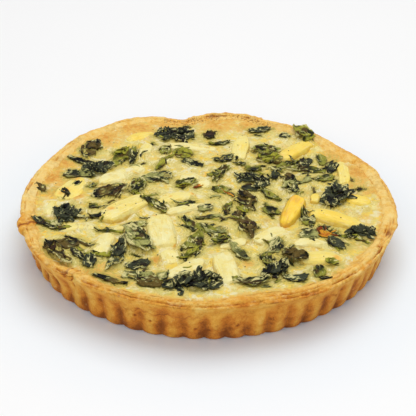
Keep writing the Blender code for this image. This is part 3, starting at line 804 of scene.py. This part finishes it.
# Browned places: x, y, radius, strength.
BROWNED = [
    (-112, 45, 16, 0.9), (-117, 20, 14, 1.0), (-117, -2, 12, 0.7), (-88, 86, 20, 0.8), (-62, 104, 18, 0.9),
    (-38, 112, 16, 0.7), (5, 117, 18, 0.8), (30, 113, 12, 0.8), (100, 66, 15, 0.8), (112, 40, 15, 0.9),
    (118, 15, 10, 0.8), (108, 22, 10, 0.7), (-112, -40, 10, 0.5), (-70, -101, 14, 0.9), (-55, -108, 10, 0.7),
    (-99, 20, 4, 1.3), (-95, -6, 7, 0.9), (65, -58, 5, 0.9), (27, -83, 4, 0.9), (-33, -82, 4, 1.3),
    (-70, -22, 7, 0.6), (64, -45, 6, 0.5), (-83, 12, 8, 0.4), (15, 8, 9, 0.3), (102, -58, 13, 0.35),
    (86, -84, 12, 0.3), (110, -22, 10, 0.35), (-92, -30, 9, 0.35), (60, 80, 10, 0.3),
]


def custard_height(flat):
    """The level of the custard at places measured from the tin's axis, much as in its solid."""
    layer = np.array((0, 0, 9 * MM))
    swell = lumps(flat, 26 * MM) + 0.5 * lumps(flat + layer, 11 * MM)
    radius = radius_of(flat)
    edge = ramp(radius, CAVITY_RADIUS - 14 * MM, CAVITY_RADIUS)
    follow = ramp(radius, CAVITY_RADIUS - 50 * MM, CAVITY_RADIUS)
    dip = stray(direction_of(flat), RIM_LIFT)
    return CUSTARD_LEVEL + CUSTARD_SWELL * swell * (1 - 0.5 * edge) + 0.8 * MM * edge + dip * follow


def tree_of(pieces):
    """One search tree over the surfaces of some pieces."""
    points, faces, start = [], [], 0
    for piece in pieces:
        points += [vertex.co.copy() for vertex in piece.data.vertices]
        faces += [[start + corner for corner in face.vertices] for face in piece.data.polygons]
        start = len(points)
    return BVHTree.FromPolygons(points, faces)


def straight_down(tree, x, y):
    """Where a line dropped at a place first meets some pieces, or None."""
    return tree.ray_cast(Vector((x, y, 0.1)), Vector((0, 0, -1)))[0]


def nearness(piece, others, reach):
    """How close each point of a piece is to some others: 1 where they touch, fading away over a reach."""
    tree = tree_of(others)
    gaps = [tree.find_nearest(Vector(point), 4 * reach)[3] for point in read_points(piece)]
    return [0 if gap is None else math.exp(-gap / reach) for gap in gaps]


def custard_outline(direction):
    """How far from the axis the custard reaches: it meets the inside of the rim."""
    radius = np.full_like(direction, EDGE_RADIUS)
    height = np.full_like(direction, RIM_HEIGHT - 1.2 * MM)
    return EDGE_RADIUS - 0.1 * MM + wall_reach(direction, radius, height)


def pour_custard(name):
    """A fine square grid drawn out to the round of the case, and a plain body extruded down from it."""
    bpy.ops.object.select_all(action="DESELECT")
    bpy.ops.mesh.primitive_grid_add(x_subdivisions=CUSTARD_CELLS, y_subdivisions=CUSTARD_CELLS, size=2)
    custard = bpy.context.active_object
    custard.name = name
    points = read_points(custard)
    wide, deep = points[:, 0], points[:, 1]
    flat = np.column_stack([wide * np.sqrt(1 - deep ** 2 / 2), deep * np.sqrt(1 - wide ** 2 / 2), wide * 0])
    flat *= custard_outline(direction_of(flat))[:, None]
    write_points(custard, flat)
    bpy.ops.object.mode_set(mode="EDIT")
    bpy.ops.mesh.select_all(action="DESELECT")
    bpy.ops.mesh.select_non_manifold()
    bpy.ops.mesh.extrude_edges_move()
    bpy.ops.transform.resize(value=(0.94, 0.94, 1), center_override=(0, 0, 0))
    bpy.ops.transform.translate(value=(0, 0, -0.5))
    bpy.ops.mesh.edge_face_add()
    bpy.ops.mesh.select_all(action="SELECT")
    bpy.ops.mesh.normals_make_consistent(inside=False)
    bpy.ops.object.mode_set(mode="OBJECT")
    return custard


def settle_custard(custard):
    """Give the custard its level, its lumps, and its creep up the asparagus and the leaves."""
    flat = read_points(custard)
    on_top = flat[:, 2] > -0.1
    flat[:, 2] = 0
    level = custard_height(flat)
    level += (0.5 * lumps(flat, 6.5 * MM, 2) + 0.34 * lumps(flat, 3.0 * MM, 3)) * MM
    # Slabs of asparagus just under the surface lift it, with a fold between each two.
    fold = np.abs(lumps(flat * (1, 1.5, 1), 17 * MM, 21))
    level += 0.9 * MM * (ramp(fold, 0, 0.2) - 0.6)
    beside_rim = ramp(radius_of(flat), CAVITY_RADIUS - 6 * MM, CAVITY_RADIUS)
    level += beside_rim * (0.7 * lumps(flat, 8 * MM, 22) + 0.4 * lumps(flat, 3 * MM, 23)) * MM
    # The fold note marks the creases between the slabs, where the finish paints shade.
    note(custard, "fold", np.exp(-(fold / 0.045) ** 2) * ramp(lumps(flat, 20 * MM, 24), -0.1, 0.2))
    points = flat + TIN_AXIS
    pale, golden = tree_of(pale_asparagus), tree_of(golden_asparagus)
    greens, frills = tree_of(plain), tree_of(frilled)
    covered = np.zeros(len(flat))
    drowned = (0.5 + 2.2 * ramp(lumps(flat, 9 * MM, 25), -0.2, 0.3)) * MM
    film = ramp(lumps(flat, 5 * MM, 6), 0.08, 0.25)
    for row in np.flatnonzero(on_top):
        x, y, start = points[row, 0], points[row, 1], level[row]
        for tree, climb, cover in ((pale, 0.9, drowned[row]), (golden, 0.4, 0.3 * MM)):
            near = tree.find_nearest(Vector((x, y, start)), 8 * MM)
            if near[0]:
                level[row] += climb * MM * math.exp(-(near[3] / (2.2 * MM)) ** 2)
            over = straight_down(tree, x, y)
            if over:
                covered[row] = 1
            if over and over.z - start < cover:
                level[row] = max(level[row], over.z + 0.3 * MM)
        for tree, skin in ((greens, 1.1), (frills, 0.0)):
            over = straight_down(tree, x, y)
            if over and over.z - start < 3.2 * MM:
                level[row] = over.z - 0.6 * MM + skin * MM * film[row]
    # The creep slopes away: each round evens the surface with its neighbours, and fills a hollow faster than
    # it lowers a crest.
    field = level[on_top].reshape(CUSTARD_CELLS + 1, CUSTARD_CELLS + 1)
    for _ in range(3):
        padded = np.pad(field, 1, mode="edge")
        near = (padded[:-2, 1:-1] + padded[2:, 1:-1] + padded[1:-1, :-2] + padded[1:-1, 2:]) / 4
        field = np.where(near > field, 0.45 * field + 0.55 * near, 0.75 * field + 0.25 * near)
    level[on_top] = field.ravel()
    points[:, 2] = np.where(on_top, level, 6 * MM)
    write_points(custard, points)
    return flat, covered


def custard_finish():
    """Baked egg custard: cream yellow, finely curdled, freckled, golden to brown along the pastry."""
    material, shader, place = new_finish("baked custard")
    cloud = place.speckle(9 * MM, 3.0)
    curd = place.speckle(2.2 * MM, 4.0, 0.65)
    grain = place.speckle(0.9 * MM, 2.0)
    butter = place.speckle(7 * MM, 4.0, 0.6, 0.6)
    colour = (cloud * 0.55 + curd * 0.3 + grain * 0.1).step(-0.6, 0.6).masks(
        linear(214, 190, 100), linear(243, 231, 155))
    cream = (place.noted("cream") + 0.35 * cloud + 0.2 * curd).step(0.2, 0.9)
    colour = (cream * 0.4).masks(colour, linear(242, 230, 164))
    slab = (place.noted("over_slab") + 0.15 * curd).step(0.3, 0.7)
    colour = (slab * 0.6).masks(colour, linear(243, 232, 168))
    colour = (butter.step(-0.05, 0.35) * 0.85).masks(colour, linear(242, 208, 78))
    milk = place.speckle(6.5 * MM, 3.0, 0.5, 0.5)
    colour = (milk.step(0.1, 0.5) * 0.6).masks(colour, linear(243, 239, 204))
    clear = place.speckle(8 * MM, 4.0, 0.6, 0.8)
    colour = (clear.step(0.15, 0.6) * 0.7).masks(colour, linear(222, 209, 122))
    toasted = place.speckle(4 * MM, 4.0, 0.65)
    warm = place.speckle(15 * MM, 3.0) * 0.6 + toasted * 0.7
    colour = (warm.step(0.1, 0.8) * 0.7).masks(colour, linear(236, 197, 108))
    brown = place.noted("brown")
    brown = brown * (0.9 + 0.25 * cloud + 0.7 * toasted) + 0.1 * curd * (brown + 0.25)
    colour = brown.step(0.1, 0.6).masks(colour, linear(232, 182, 84))
    colour = (brown.step(0.55, 1.05) * 0.85).masks(colour, linear(216, 144, 48))
    freckle = (place.speckle(1.3 * MM, 2.0) * 0.6 + place.speckle(11 * MM, 2.0) * 0.4).step(0.3, 0.5)
    colour = (freckle * 0.5).masks(colour, linear(200, 158, 70))
    ember = (place.speckle(3.4 * MM, 2.0) * 0.7 + place.speckle(20 * MM, 2.0) * 0.45).step(0.5, 0.7)
    colour = (ember * 0.85).masks(colour, linear(246, 194, 62))
    # Painted shade: a golden-brown line where the custard meets the asparagus, in the crease between them.
    edge = (place.noted("edge") + 0.4 * cloud + 0.3 * toasted).step(0.55, 1.0)
    colour = (edge * 0.75).masks(colour, linear(196, 150, 52))
    # Painted shade: darker gold along the folds between the slabs.
    fold = (place.noted("fold") + 0.2 * curd).step(0.3, 1.0)
    colour = (fold * 0.5).masks(colour, linear(208, 162, 62))
    marble = place.noted("blade", 1).speckle(2.2 * MM, 4.0, 0.65, 1.5)
    stain = place.noted("stain") + 0.55 * marble
    tinge = place.noted("stain") + 0.6 * marble + 0.3 * cloud
    colour = (tinge.step(0.15, 0.75) * 0.75).masks(colour, linear(198, 181, 86))
    colour = (stain.step(0.5, 1.0) * 0.65).masks(colour, linear(156, 144, 54))
    colour = (stain.step(0.8, 1.05) * 0.85).masks(colour, linear(66, 58, 16))
    connect(shader, colour, 0.55 + 0.1 * curd, curd * 0.7 + grain * 0.5, 0.3 * MM, sheen=0.3)
    return material


custard = pour_custard("custard_filling")
flat, covered = settle_custard(custard)
rim_distance = custard_outline(direction_of(flat)) - radius_of(flat)
beside_pastry = 0.75 * np.exp(-rim_distance / (3.5 * MM))
note(custard, "brown", np.maximum(spotted(flat, BROWNED), beside_pastry))
# The edge note marks where the custard meets the asparagus, for a line of painted shade.
note(custard, "edge", np.array(nearness(custard, asparagus, 1.5 * MM)) * (1 - covered))
note(custard, "over_slab", covered)
note(custard, "cream", nearness(custard, pale_asparagus, 6 * MM))
custard.data.materials.append(custard_finish())
bpy.ops.object.shade_smooth()
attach(custard, "root")
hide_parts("custard")


# ---- The shreds ------------------------------------------------------------------------------------------
# Torn bits of leaf baked into the custard's skin or stuck on it: curls, strips and scraps. Each is a thin
# sheet with a ragged edge, laid on what is under it.
SHRED_THICKNESS = 0.5 * MM
# How many ruffles stand on a bunch of leaves and on a plain leaf, and how many wisps lie round them all.
RUFFLES_ON_BUNCH = 11
RUFFLES_ON_LEAF = 3
WISPS = 340
WISP_TONES = ["black", "green", "olive", "grey", "brown"]
WISP_BOUND = 114
# The seeds of each kind's noise.
SHRED_SEED = 40
RUFFLE_SEED = 700
WISP_SEED = 200
# x, y, heading, length, width, bend, and how far the edges curl up, all in millimetres and degrees. A bend
# of 0 is left to the noise.
SHREDS = {
    "black": [
        (-99, 46, -25, 22, 6, 30, 1.5), (-14, 48, -30, 17, 6, 40, 1.2), (40, 107, 20, 17, 9, 60, 2.0),
        (60, 98, 0, 8, 6, 0, 1.0), (11, 57, 20, 14, 9, 0, 1.6), (74, 55, 80, 13, 9, 0, 1.5),
        (94, 48, 75, 16, 7, 0, 1.0), (38, 18, 25, 13, 7, 0, 1.4), (49, 34, 80, 11, 7, 0, 1.5),
        (-84, -80, -55, 15, 5, 20, 1.0), (-75, -88, 90, 14, 8, 0, 2.0), (-44, -88, 30, 15, 8, 0, 1.5),
        (-23, -112, 10, 8, 7, 0, 1.5), (86, -56, -60, 15, 8, 0, 1.5), (41, -92, 55, 18, 8, 0, 1.6),
        (57, -99, 10, 16, 6, 120, 1.5), (-96, 8, 60, 5, 3, 0, 0.6), (-85, 10, 70, 5, 2.4, 0, 0.5),
        (-103, -4, -50, 9, 4, 60, 1.0), (-76, -35, 0, 9, 3.5, 0, 0.6), (63, 13, 80, 9, 5, 0, 1.0),
        (-110, -45, -30, 22, 8, 0, 1.0), (30, 14, 0, 12, 6, 0, 1.0), (-97, -33, 60, 12, 8, 0, 1.2),
    ],
    "green": [
        (-60, 58, 90, 24, 6, 0, 1.5), (-35, 66, 30, 8, 8, 0, 1.0), (7, 82, 10, 15, 6, 60, 1.5),
        (75, 44, -5, 24, 7, 0, 1.2), (33, 43, -20, 12, 8, 0, 1.5), (87, 60, 90, 15, 7, 0, 1.0),
        (87, 32, 30, 13, 9, 0, 1.2), (-37, -15, -42, 24, 6, -70, 1.5), (-16, -12, 22, 12, 5, 0, 1.0),
        (44, 5, -55, 21, 6, 0, 1.6), (-12, -39, -65, 18, 6, 0, 1.2), (-9, -60, 65, 22, 8, 0, 1.6),
        (67, -27, -84, 15, 5, 0, 1.0), (44, -17, -40, 13, 8, 0, 1.2), (28, -104, 12, 22, 8, 0, 1.5),
        (-106, -46, -20, 12, 7, 0, 1.0), (39, -77, 90, 11, 7, 0, 1.2), (72, -90, 80, 12, 7, 0, 1.2),
        (-81, -20, 0, 6, 5, 0, 0.8), (24, 50, 0, 6, 5, 0, 0.8), (-1, -44, -20, 14, 8, 0, 1.2),
    ],
    "grey": [
        (-98, 25, 5, 20, 10, 0, 1.0), (46, -63, 60, 15, 9, 20, 1.2), (21, -72, -55, 17, 8, 20, 1.4),
        (69, -48, 20, 12, 11, 0, 1.0), (5, -45, -20, 15, 9, 0, 1.0), (31, 30, 0, 14, 8, 0, 1.0),
        (-2, -18, 40, 11, 7, 0, 1.2), (0, -29, 10, 16, 4, 50, 1.0), (70, -30, 0, 8, 8, 0, 1.0),
        (73, 28, 60, 10, 5, 0, 0.8), (-47, -43, 40, 10, 6, 0, 1.0), (-27, -101, 0, 7, 6, 0, 0.8),
    ],
    "olive": [
        (-17, 17, 15, 14, 7, 60, 1.2), (8, 9, -20, 11, 7, 0, 1.4), (56, 53, 12, 25, 3.5, 0, 0.8),
        (99, -50, -24, 20, 2.6, 0, 0.8), (-12, -75, 50, 19, 4, 10, 1.5), (-9, -74, 60, 12, 3, 0, 1.0),
        (24, -17, -40, 9, 4, 0, 1.0), (81, -80, 0, 8, 5, 0, 0.8), (13, -14, 70, 8, 4, 0, 0.7),
        (-42, -12, -60, 12, 5, -30, 1.2), (-97, -51, 0, 8, 4, 0, 0.6), (-64, -52, -6, 22, 1.4, 0, 0.3),
        (-69, -80, -4, 20, 2.2, 10, 0.5), (-37, 42, 70, 14, 4, 40, 0.8), (-30, 58, 60, 16, 2.4, 0, 0.4),
        (-18, 14, 30, 12, 3, 60, 0.8), (-52, -1, -50, 12, 3, 0, 0.6),
    ],
    "brown": [
        (-1, 97, 90, 13, 8, 0, 2.0), (-122, 3, -50, 11, 6, 0, 0.8), (-60, -107, -22, 22, 5, 20, 1.0),
        (-35, -109, -5, 14, 8, 0, 1.0), (75, -97, -10, 8, 4, 0, 0.8), (111, 17, 30, 4, 3, 0, 0.6),
        (-93, -70, 0, 16, 9, 30, 1.0), (20, -24, 70, 9, 5, 0, 1.2), (60, 29, -60, 9, 6, 0, 1.2),
        (-20, 115, 0, 6, 4, 0, 0.6), (-97, -68, 62, 15, 1.8, -50, 1.0),
        (-85, -65, -32, 20, 2.0, -30, 1.0), (15, -30, 0, 14, 1.4, -130, 0.8), (-5, -66, 75, 14, 1.6, 20, 0.6),
        (68, -20, -80, 9, 3, 0, 0.6), (13, -18, 75, 11, 3, 0, 0.6),
    ],
    "rust": [
        (79, -45, 15, 9, 8, 0, 0.8), (77, -42, 80, 8, 5, 0, 0.8), (84, -42, 25, 9, 1.4, 30, 0.8),
        (85, -46, -15, 10, 1.3, 20, 0.8), (80, -39, 75, 7, 1.5, 0, 0.8), (74, -48, 30, 6, 1.6, 0, 0.6),
        (12, 7, -52, 17, 2.0, 0, 0.8), (-8, 12, 30, 7, 3, 0, 0.6),
    ],
}


def mesh_counts(length, width):
    """A shred's divisions along and across it, fewer where it is small."""
    return 14 if length > 12 else 9 if length > 7 else 5, 7 if width > 5 else 4 if width > 2.5 else 2


def shred_sheet(row, seed):
    """One flat torn shred: a primitive grid drawn to a ragged blade that may curve."""
    x, y, heading, length, width, bend, _ = row
    columns, rows = mesh_counts(length, width)
    length, width = 1.1 * length, 1.08 * width
    bpy.ops.object.select_all(action="DESELECT")
    bpy.ops.mesh.primitive_grid_add(x_subdivisions=columns, y_subdivisions=rows, size=2)
    shred = bpy.context.active_object
    points = read_points(shred)
    along, across = points[:, 0], points[:, 1]
    blade = np.maximum(0.22, (1 - np.abs(along) ** 2.2)) ** 0.6
    torn = 1 + 0.55 * lumps(np.column_stack([along * 2.2, np.sign(across) * 3, along * 0]), 1.0, seed)
    side = across * blade * torn * width / 2 * MM
    place = along * length / 2 * MM
    turn = math.radians(bend if bend else 90 * noise.noise((seed * 1.7, 0.5, 0)))
    if abs(turn) > 0.05:
        radius = length * MM / turn
        swung, from_centre = along * turn / 2, radius - side
        place, side = from_centre * np.sin(swung), radius - from_centre * np.cos(swung)
    flat = np.column_stack([place, side, np.zeros(len(points))])
    turned = flat @ np.array(Matrix.Rotation(math.radians(heading), 3, "Z")).T
    turned += np.array(TIN_AXIS) + np.array((x, y, 0)) * MM
    frayed = [lumps(turned, 2.5 * MM, seed + 1), lumps(turned, 2.5 * MM, seed + 2)]
    turned[:, :2] += 0.4 * MM * np.column_stack(frayed)
    return shred, turned, along, across


def lay_shred(row, tone, ground, seed):
    """Lay a shred on the ground under it, creased and with its edges curled, and give it its thickness."""
    x, y, heading, length, width, _, curling = row
    shred, points, along, across = shred_sheet(row, seed)
    hits = [straight_down(ground, *point[:2]) for point in points]
    under = np.array([hit.z if hit else RIM_HEIGHT for hit in hits])
    bridged = np.maximum(under, 0.5 * under + 0.5 * np.percentile(under, 70))
    uneven = 0.5 + np.abs(lumps(points, 9 * MM, seed + 4))
    curl = curling * MM * (0.8 * across ** 2 + 0.4 * along ** 2) * uneven
    tilt = 1.2 * MM * noise.noise((seed * 2.3, 4.5, 0)) * across
    limp = min(1, width / 5)
    rise = 0.7 * MM * ridges(points, 4 * MM, seed + 3) * limp + tilt * limp + curl * limp
    points[:, 2] = np.minimum(bridged - 0.35 * MM * limp + rise, cad_box[1].z - 0.8 * MM)
    write_points(shred, points)
    solid = shred.modifiers.new("thickness", "SOLIDIFY")
    solid.thickness = SHRED_THICKNESS
    solid.offset = 0
    bpy.ops.object.modifier_apply(modifier=solid.name)
    points = read_points(shred)
    middle = np.array(TIN_AXIS) + np.array((x, y, 0)) * MM
    edge = ramp(radius_of(points - middle) / (0.5 * length * MM), 0.4, 1.0)
    ridge = ridges(points, 4 * MM, seed + 3)
    facing = np.array((math.cos(math.radians(heading)), math.sin(math.radians(heading)), 0))
    dress_leaf(shred, points, tone, edge, seed, middle, facing, ridge, -0.15 * ridge)
    blades.append((middle, facing, length * MM / 2, width * MM / 2))
    return shred


def spot_on(blade, forward, sideways):
    """A place on or near a leaf, in millimetres from the tin's axis, given as shares of its half sizes."""
    middle, along, half_length, half_width = blade
    start = middle - np.array(TIN_AXIS) + forward * half_length * along
    return (start + sideways * half_width * across_from(along)) / MM


def join_as(name, pieces):
    """Join some pieces into one object."""
    bpy.ops.object.select_all(action="DESELECT")
    for piece in pieces:
        piece.select_set(True)
    bpy.context.view_layer.objects.active = pieces[0]
    bpy.ops.object.join()
    joined = bpy.context.active_object
    joined.name = name
    bpy.ops.object.transform_apply(location=True, rotation=True, scale=True)
    return joined


ground = tree_of([case, custard, *asparagus, *leaves])
shreds = []
for tone, rows in SHREDS.items():
    laid = [lay_shred(row, tone, ground, SHRED_SEED + 7 * number) for number, row in enumerate(rows)]
    piece = join_as(f"{tone}_shreds", laid)
    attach(piece, "root")
    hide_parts("custard")
    shreds.append(piece)

# Curls and ruffles stand on the leaves themselves: many on the frilly bunches, a few on the others.
ruffle_draw = random.Random(23)
ruffles = []
for number, (tone, home) in enumerate(zip(LEAF_TONES, blades), start=1):
    along = home[1]
    bunched = number in FRILLY
    for _ in range(RUFFLES_ON_BUNCH if bunched else RUFFLES_ON_LEAF):
        turn = ruffle_draw.uniform(0, math.tau)
        outward = math.sqrt(ruffle_draw.random()) * (0.92 if bunched else 0.8)
        spot = spot_on(home, math.cos(turn) * outward, math.sin(turn) * outward)
        heading = math.degrees(math.atan2(along[1], along[0]) + (turn if bunched else 0))
        row = (spot[0], spot[1], heading + ruffle_draw.gauss(0, 40), ruffle_draw.uniform(6, 13),
               ruffle_draw.uniform(2.6, 5.2), ruffle_draw.uniform(-120, 120),
               ruffle_draw.uniform(0.8, 2.0) if bunched else 0.8)
        ruffles.append(lay_shred(row, tone, ground, RUFFLE_SEED + len(ruffles)))
ruffle_piece = join_as("leaf_ruffles", ruffles)
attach(ruffle_piece, "root")
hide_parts("custard")

# Hundreds of tiny wisps lie round the leaves and shreds, where these frayed in the custard.
spear_ground = tree_of(golden_asparagus)
wisp_draw = random.Random(11)
wisps = []
homes = blades[:len(leaves) + sum(len(rows) for rows in SHREDS.values())]
while len(wisps) < WISPS:
    home = wisp_draw.choice(homes)
    forward = wisp_draw.gauss(0, 0.75)
    spot = spot_on(home, forward, wisp_draw.gauss(0, 1.0))
    heading = math.degrees(math.atan2(home[1][1], home[1][0])) + wisp_draw.gauss(0, 35)
    row = (spot[0], spot[1], heading, wisp_draw.uniform(3, 9), wisp_draw.uniform(0.8, 1.8),
           wisp_draw.uniform(-110, 110), 0.4)
    tone = wisp_draw.choice(WISP_TONES)
    on_gold = straight_down(spear_ground, spot[0] * MM + TIN_AXIS.x, spot[1] * MM + TIN_AXIS.y)
    if math.hypot(spot[0], spot[1]) < WISP_BOUND and not on_gold:
        wisps.append(lay_shred(row, tone, ground, WISP_SEED + len(wisps)))
wisp_piece = join_as("leaf_wisps", wisps)
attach(wisp_piece, "root")
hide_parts("custard")

# Leaf juice has stained the custard round them, in streaks that run the leaves' way.
note(custard, "stain", nearness(custard, [*leaves, *shreds, wisp_piece], 3.8 * MM))
points = read_points(custard)
gaps = np.stack([radius_of(points - middle) / reach for middle, _, reach, _ in homes])
nearest = gaps.argmin(axis=0)
middles = np.array([home[0] for home in homes])[nearest]
alongs = np.array([home[1] for home in homes])[nearest]
apart = points - middles
length = (apart * alongs).sum(axis=1)
side = apart[:, 1] * alongs[:, 0] - apart[:, 0] * alongs[:, 1]
note(custard, "blade", np.column_stack([length * 0.35, side, middles[:, 0]]), "FLOAT_VECTOR", "vector")


# ---- The pepper ------------------------------------------------------------------------------------------
# Coarsely ground black pepper, ninety grains stuck on the asparagus and the custard: the clearest ones in
# their places, and the rest strewn over the filling.
PEPPER_GRAINS = 90
PEPPER_SIZE = 0.45 * MM
PEPPER_BOUND = 115
PEPPER_SEEN = [
    (-58, -24), (-64, -29), (-47, -16), (-70, -31), (-66, -22), (7, -22), (15, 76), (28, 79), (62, 66),
    (71, 80), (-7, -83), (24, -86), (22, -79), (81, -27), (92, -31), (78, -24), (76, -78), (-11, -90),
]


def pepper_finish():
    """Black pepper: nearly black, a little brown, dull."""
    material, shader, place = new_finish("pepper")
    colour = place.speckle(0.4 * MM).step(-0.4, 0.7).masks(linear(44, 36, 28), linear(92, 74, 48))
    connect(shader, colour, 0.7 + 0.03 * place.speckle(1 * MM), place.speckle(0.3 * MM), 0.03 * MM)
    return material


pepper_draw = random.Random(5)
spots = [(x + pepper_draw.uniform(-1, 1), y + pepper_draw.uniform(-1, 1)) for x, y in PEPPER_SEEN]
while len(spots) < PEPPER_GRAINS:
    spot = [pepper_draw.uniform(-PEPPER_BOUND, PEPPER_BOUND) for _ in range(2)]
    if math.hypot(*spot) < PEPPER_BOUND:
        spots.append(spot)
grains = []
top_ground = tree_of([custard, *asparagus])
for x, y in spots:
    hit = straight_down(top_ground, x * MM + TIN_AXIS.x, y * MM + TIN_AXIS.y)
    bpy.ops.object.select_all(action="DESELECT")
    size = PEPPER_SIZE * pepper_draw.uniform(0.5, 1.2)
    place = hit + Vector((0, 0, 0.3 * size))
    bpy.ops.mesh.primitive_ico_sphere_add(subdivisions=1, radius=size, location=place)
    grain = bpy.context.active_object
    grain.scale = (1, pepper_draw.uniform(0.6, 1.0), 0.7)
    grains.append(grain)
pepper = join_as("pepper_grains", grains)
pepper.data.materials.append(pepper_finish())
bpy.ops.object.shade_smooth()
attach(pepper, "root")
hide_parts("custard")


# ---- The view --------------------------------------------------------------------------------------------
# A white table in a bright soft studio: a large soft light from behind and above, a weaker one from the front
# left, and a camera over the front.
LENS = 78.5
CAMERA_PLACE = Vector((-1.04, -562.85, 362.79)) * MM
CAMERA_AIM = Vector((-1.04, 29.43, 0)) * MM
CAMERA_ROLL = math.radians(1.889)


def soft_light(name, place, size, power, colour):
    """A square studio light that faces the quiche."""
    bpy.ops.object.light_add(type="AREA", location=place)
    lamp = bpy.context.active_object
    lamp.name = name
    lamp.data.size = size
    lamp.data.energy = power
    lamp.data.color = colour
    lamp.rotation_euler = (-Vector(place)).to_track_quat("-Z", "Y").to_euler()


bpy.ops.object.select_all(action="DESELECT")
bpy.ops.mesh.primitive_plane_add(size=6, location=(0, 0, 0))
table = bpy.context.active_object
table.name = "table"
table_look, table_shader, table_place = new_finish("white table")
# Near the quiche the table is painted bluish, against the warm light that the crust throws on it, so its
# shade reads grey.
distance = table_place.node("ShaderNodeVectorMath", {"operation": "LENGTH"}, {0: table_place}, output=1)
table_tint_against_bounce = distance.step(0.12, 0.22).masks((0.79, 0.86, 0.92), (0.895, 0.893, 0.89))
table_roughness = 0.5 + 0.02 * table_place.speckle(0.2)
connect(table_shader, table_tint_against_bounce, table_roughness, table_place.speckle(0.1), 0.01 * MM)
table.data.materials.append(table_look)

soft_light("key", (0.16, 0.55, 1.6), 1.5, 17.8, (1.0, 0.99, 0.97))
soft_light("fill", (-0.3, -1.2, 0.9), 1.6, 7.0, (0.96, 0.98, 1.0))
world = bpy.data.worlds.new("studio")
world.use_nodes = True
background = world.node_tree.nodes["Background"].inputs
background["Color"].default_value = (0.95, 0.96, 0.98, 1)
background["Strength"].default_value = 0.53
bpy.context.scene.world = world
bpy.context.scene.view_settings.view_transform = "Standard"

bpy.ops.object.camera_add()
camera = bpy.context.active_object
camera.data.lens = LENS
camera.data.sensor_width = 36
camera.data.shift_y = 0.0024
aimed = (CAMERA_AIM - CAMERA_PLACE).to_track_quat("-Z", "Y").to_matrix().to_4x4()
camera.matrix_world = Matrix.Translation(CAMERA_PLACE) @ aimed @ Matrix.Rotation(CAMERA_ROLL, 4, "Z")
bpy.context.scene.camera = camera
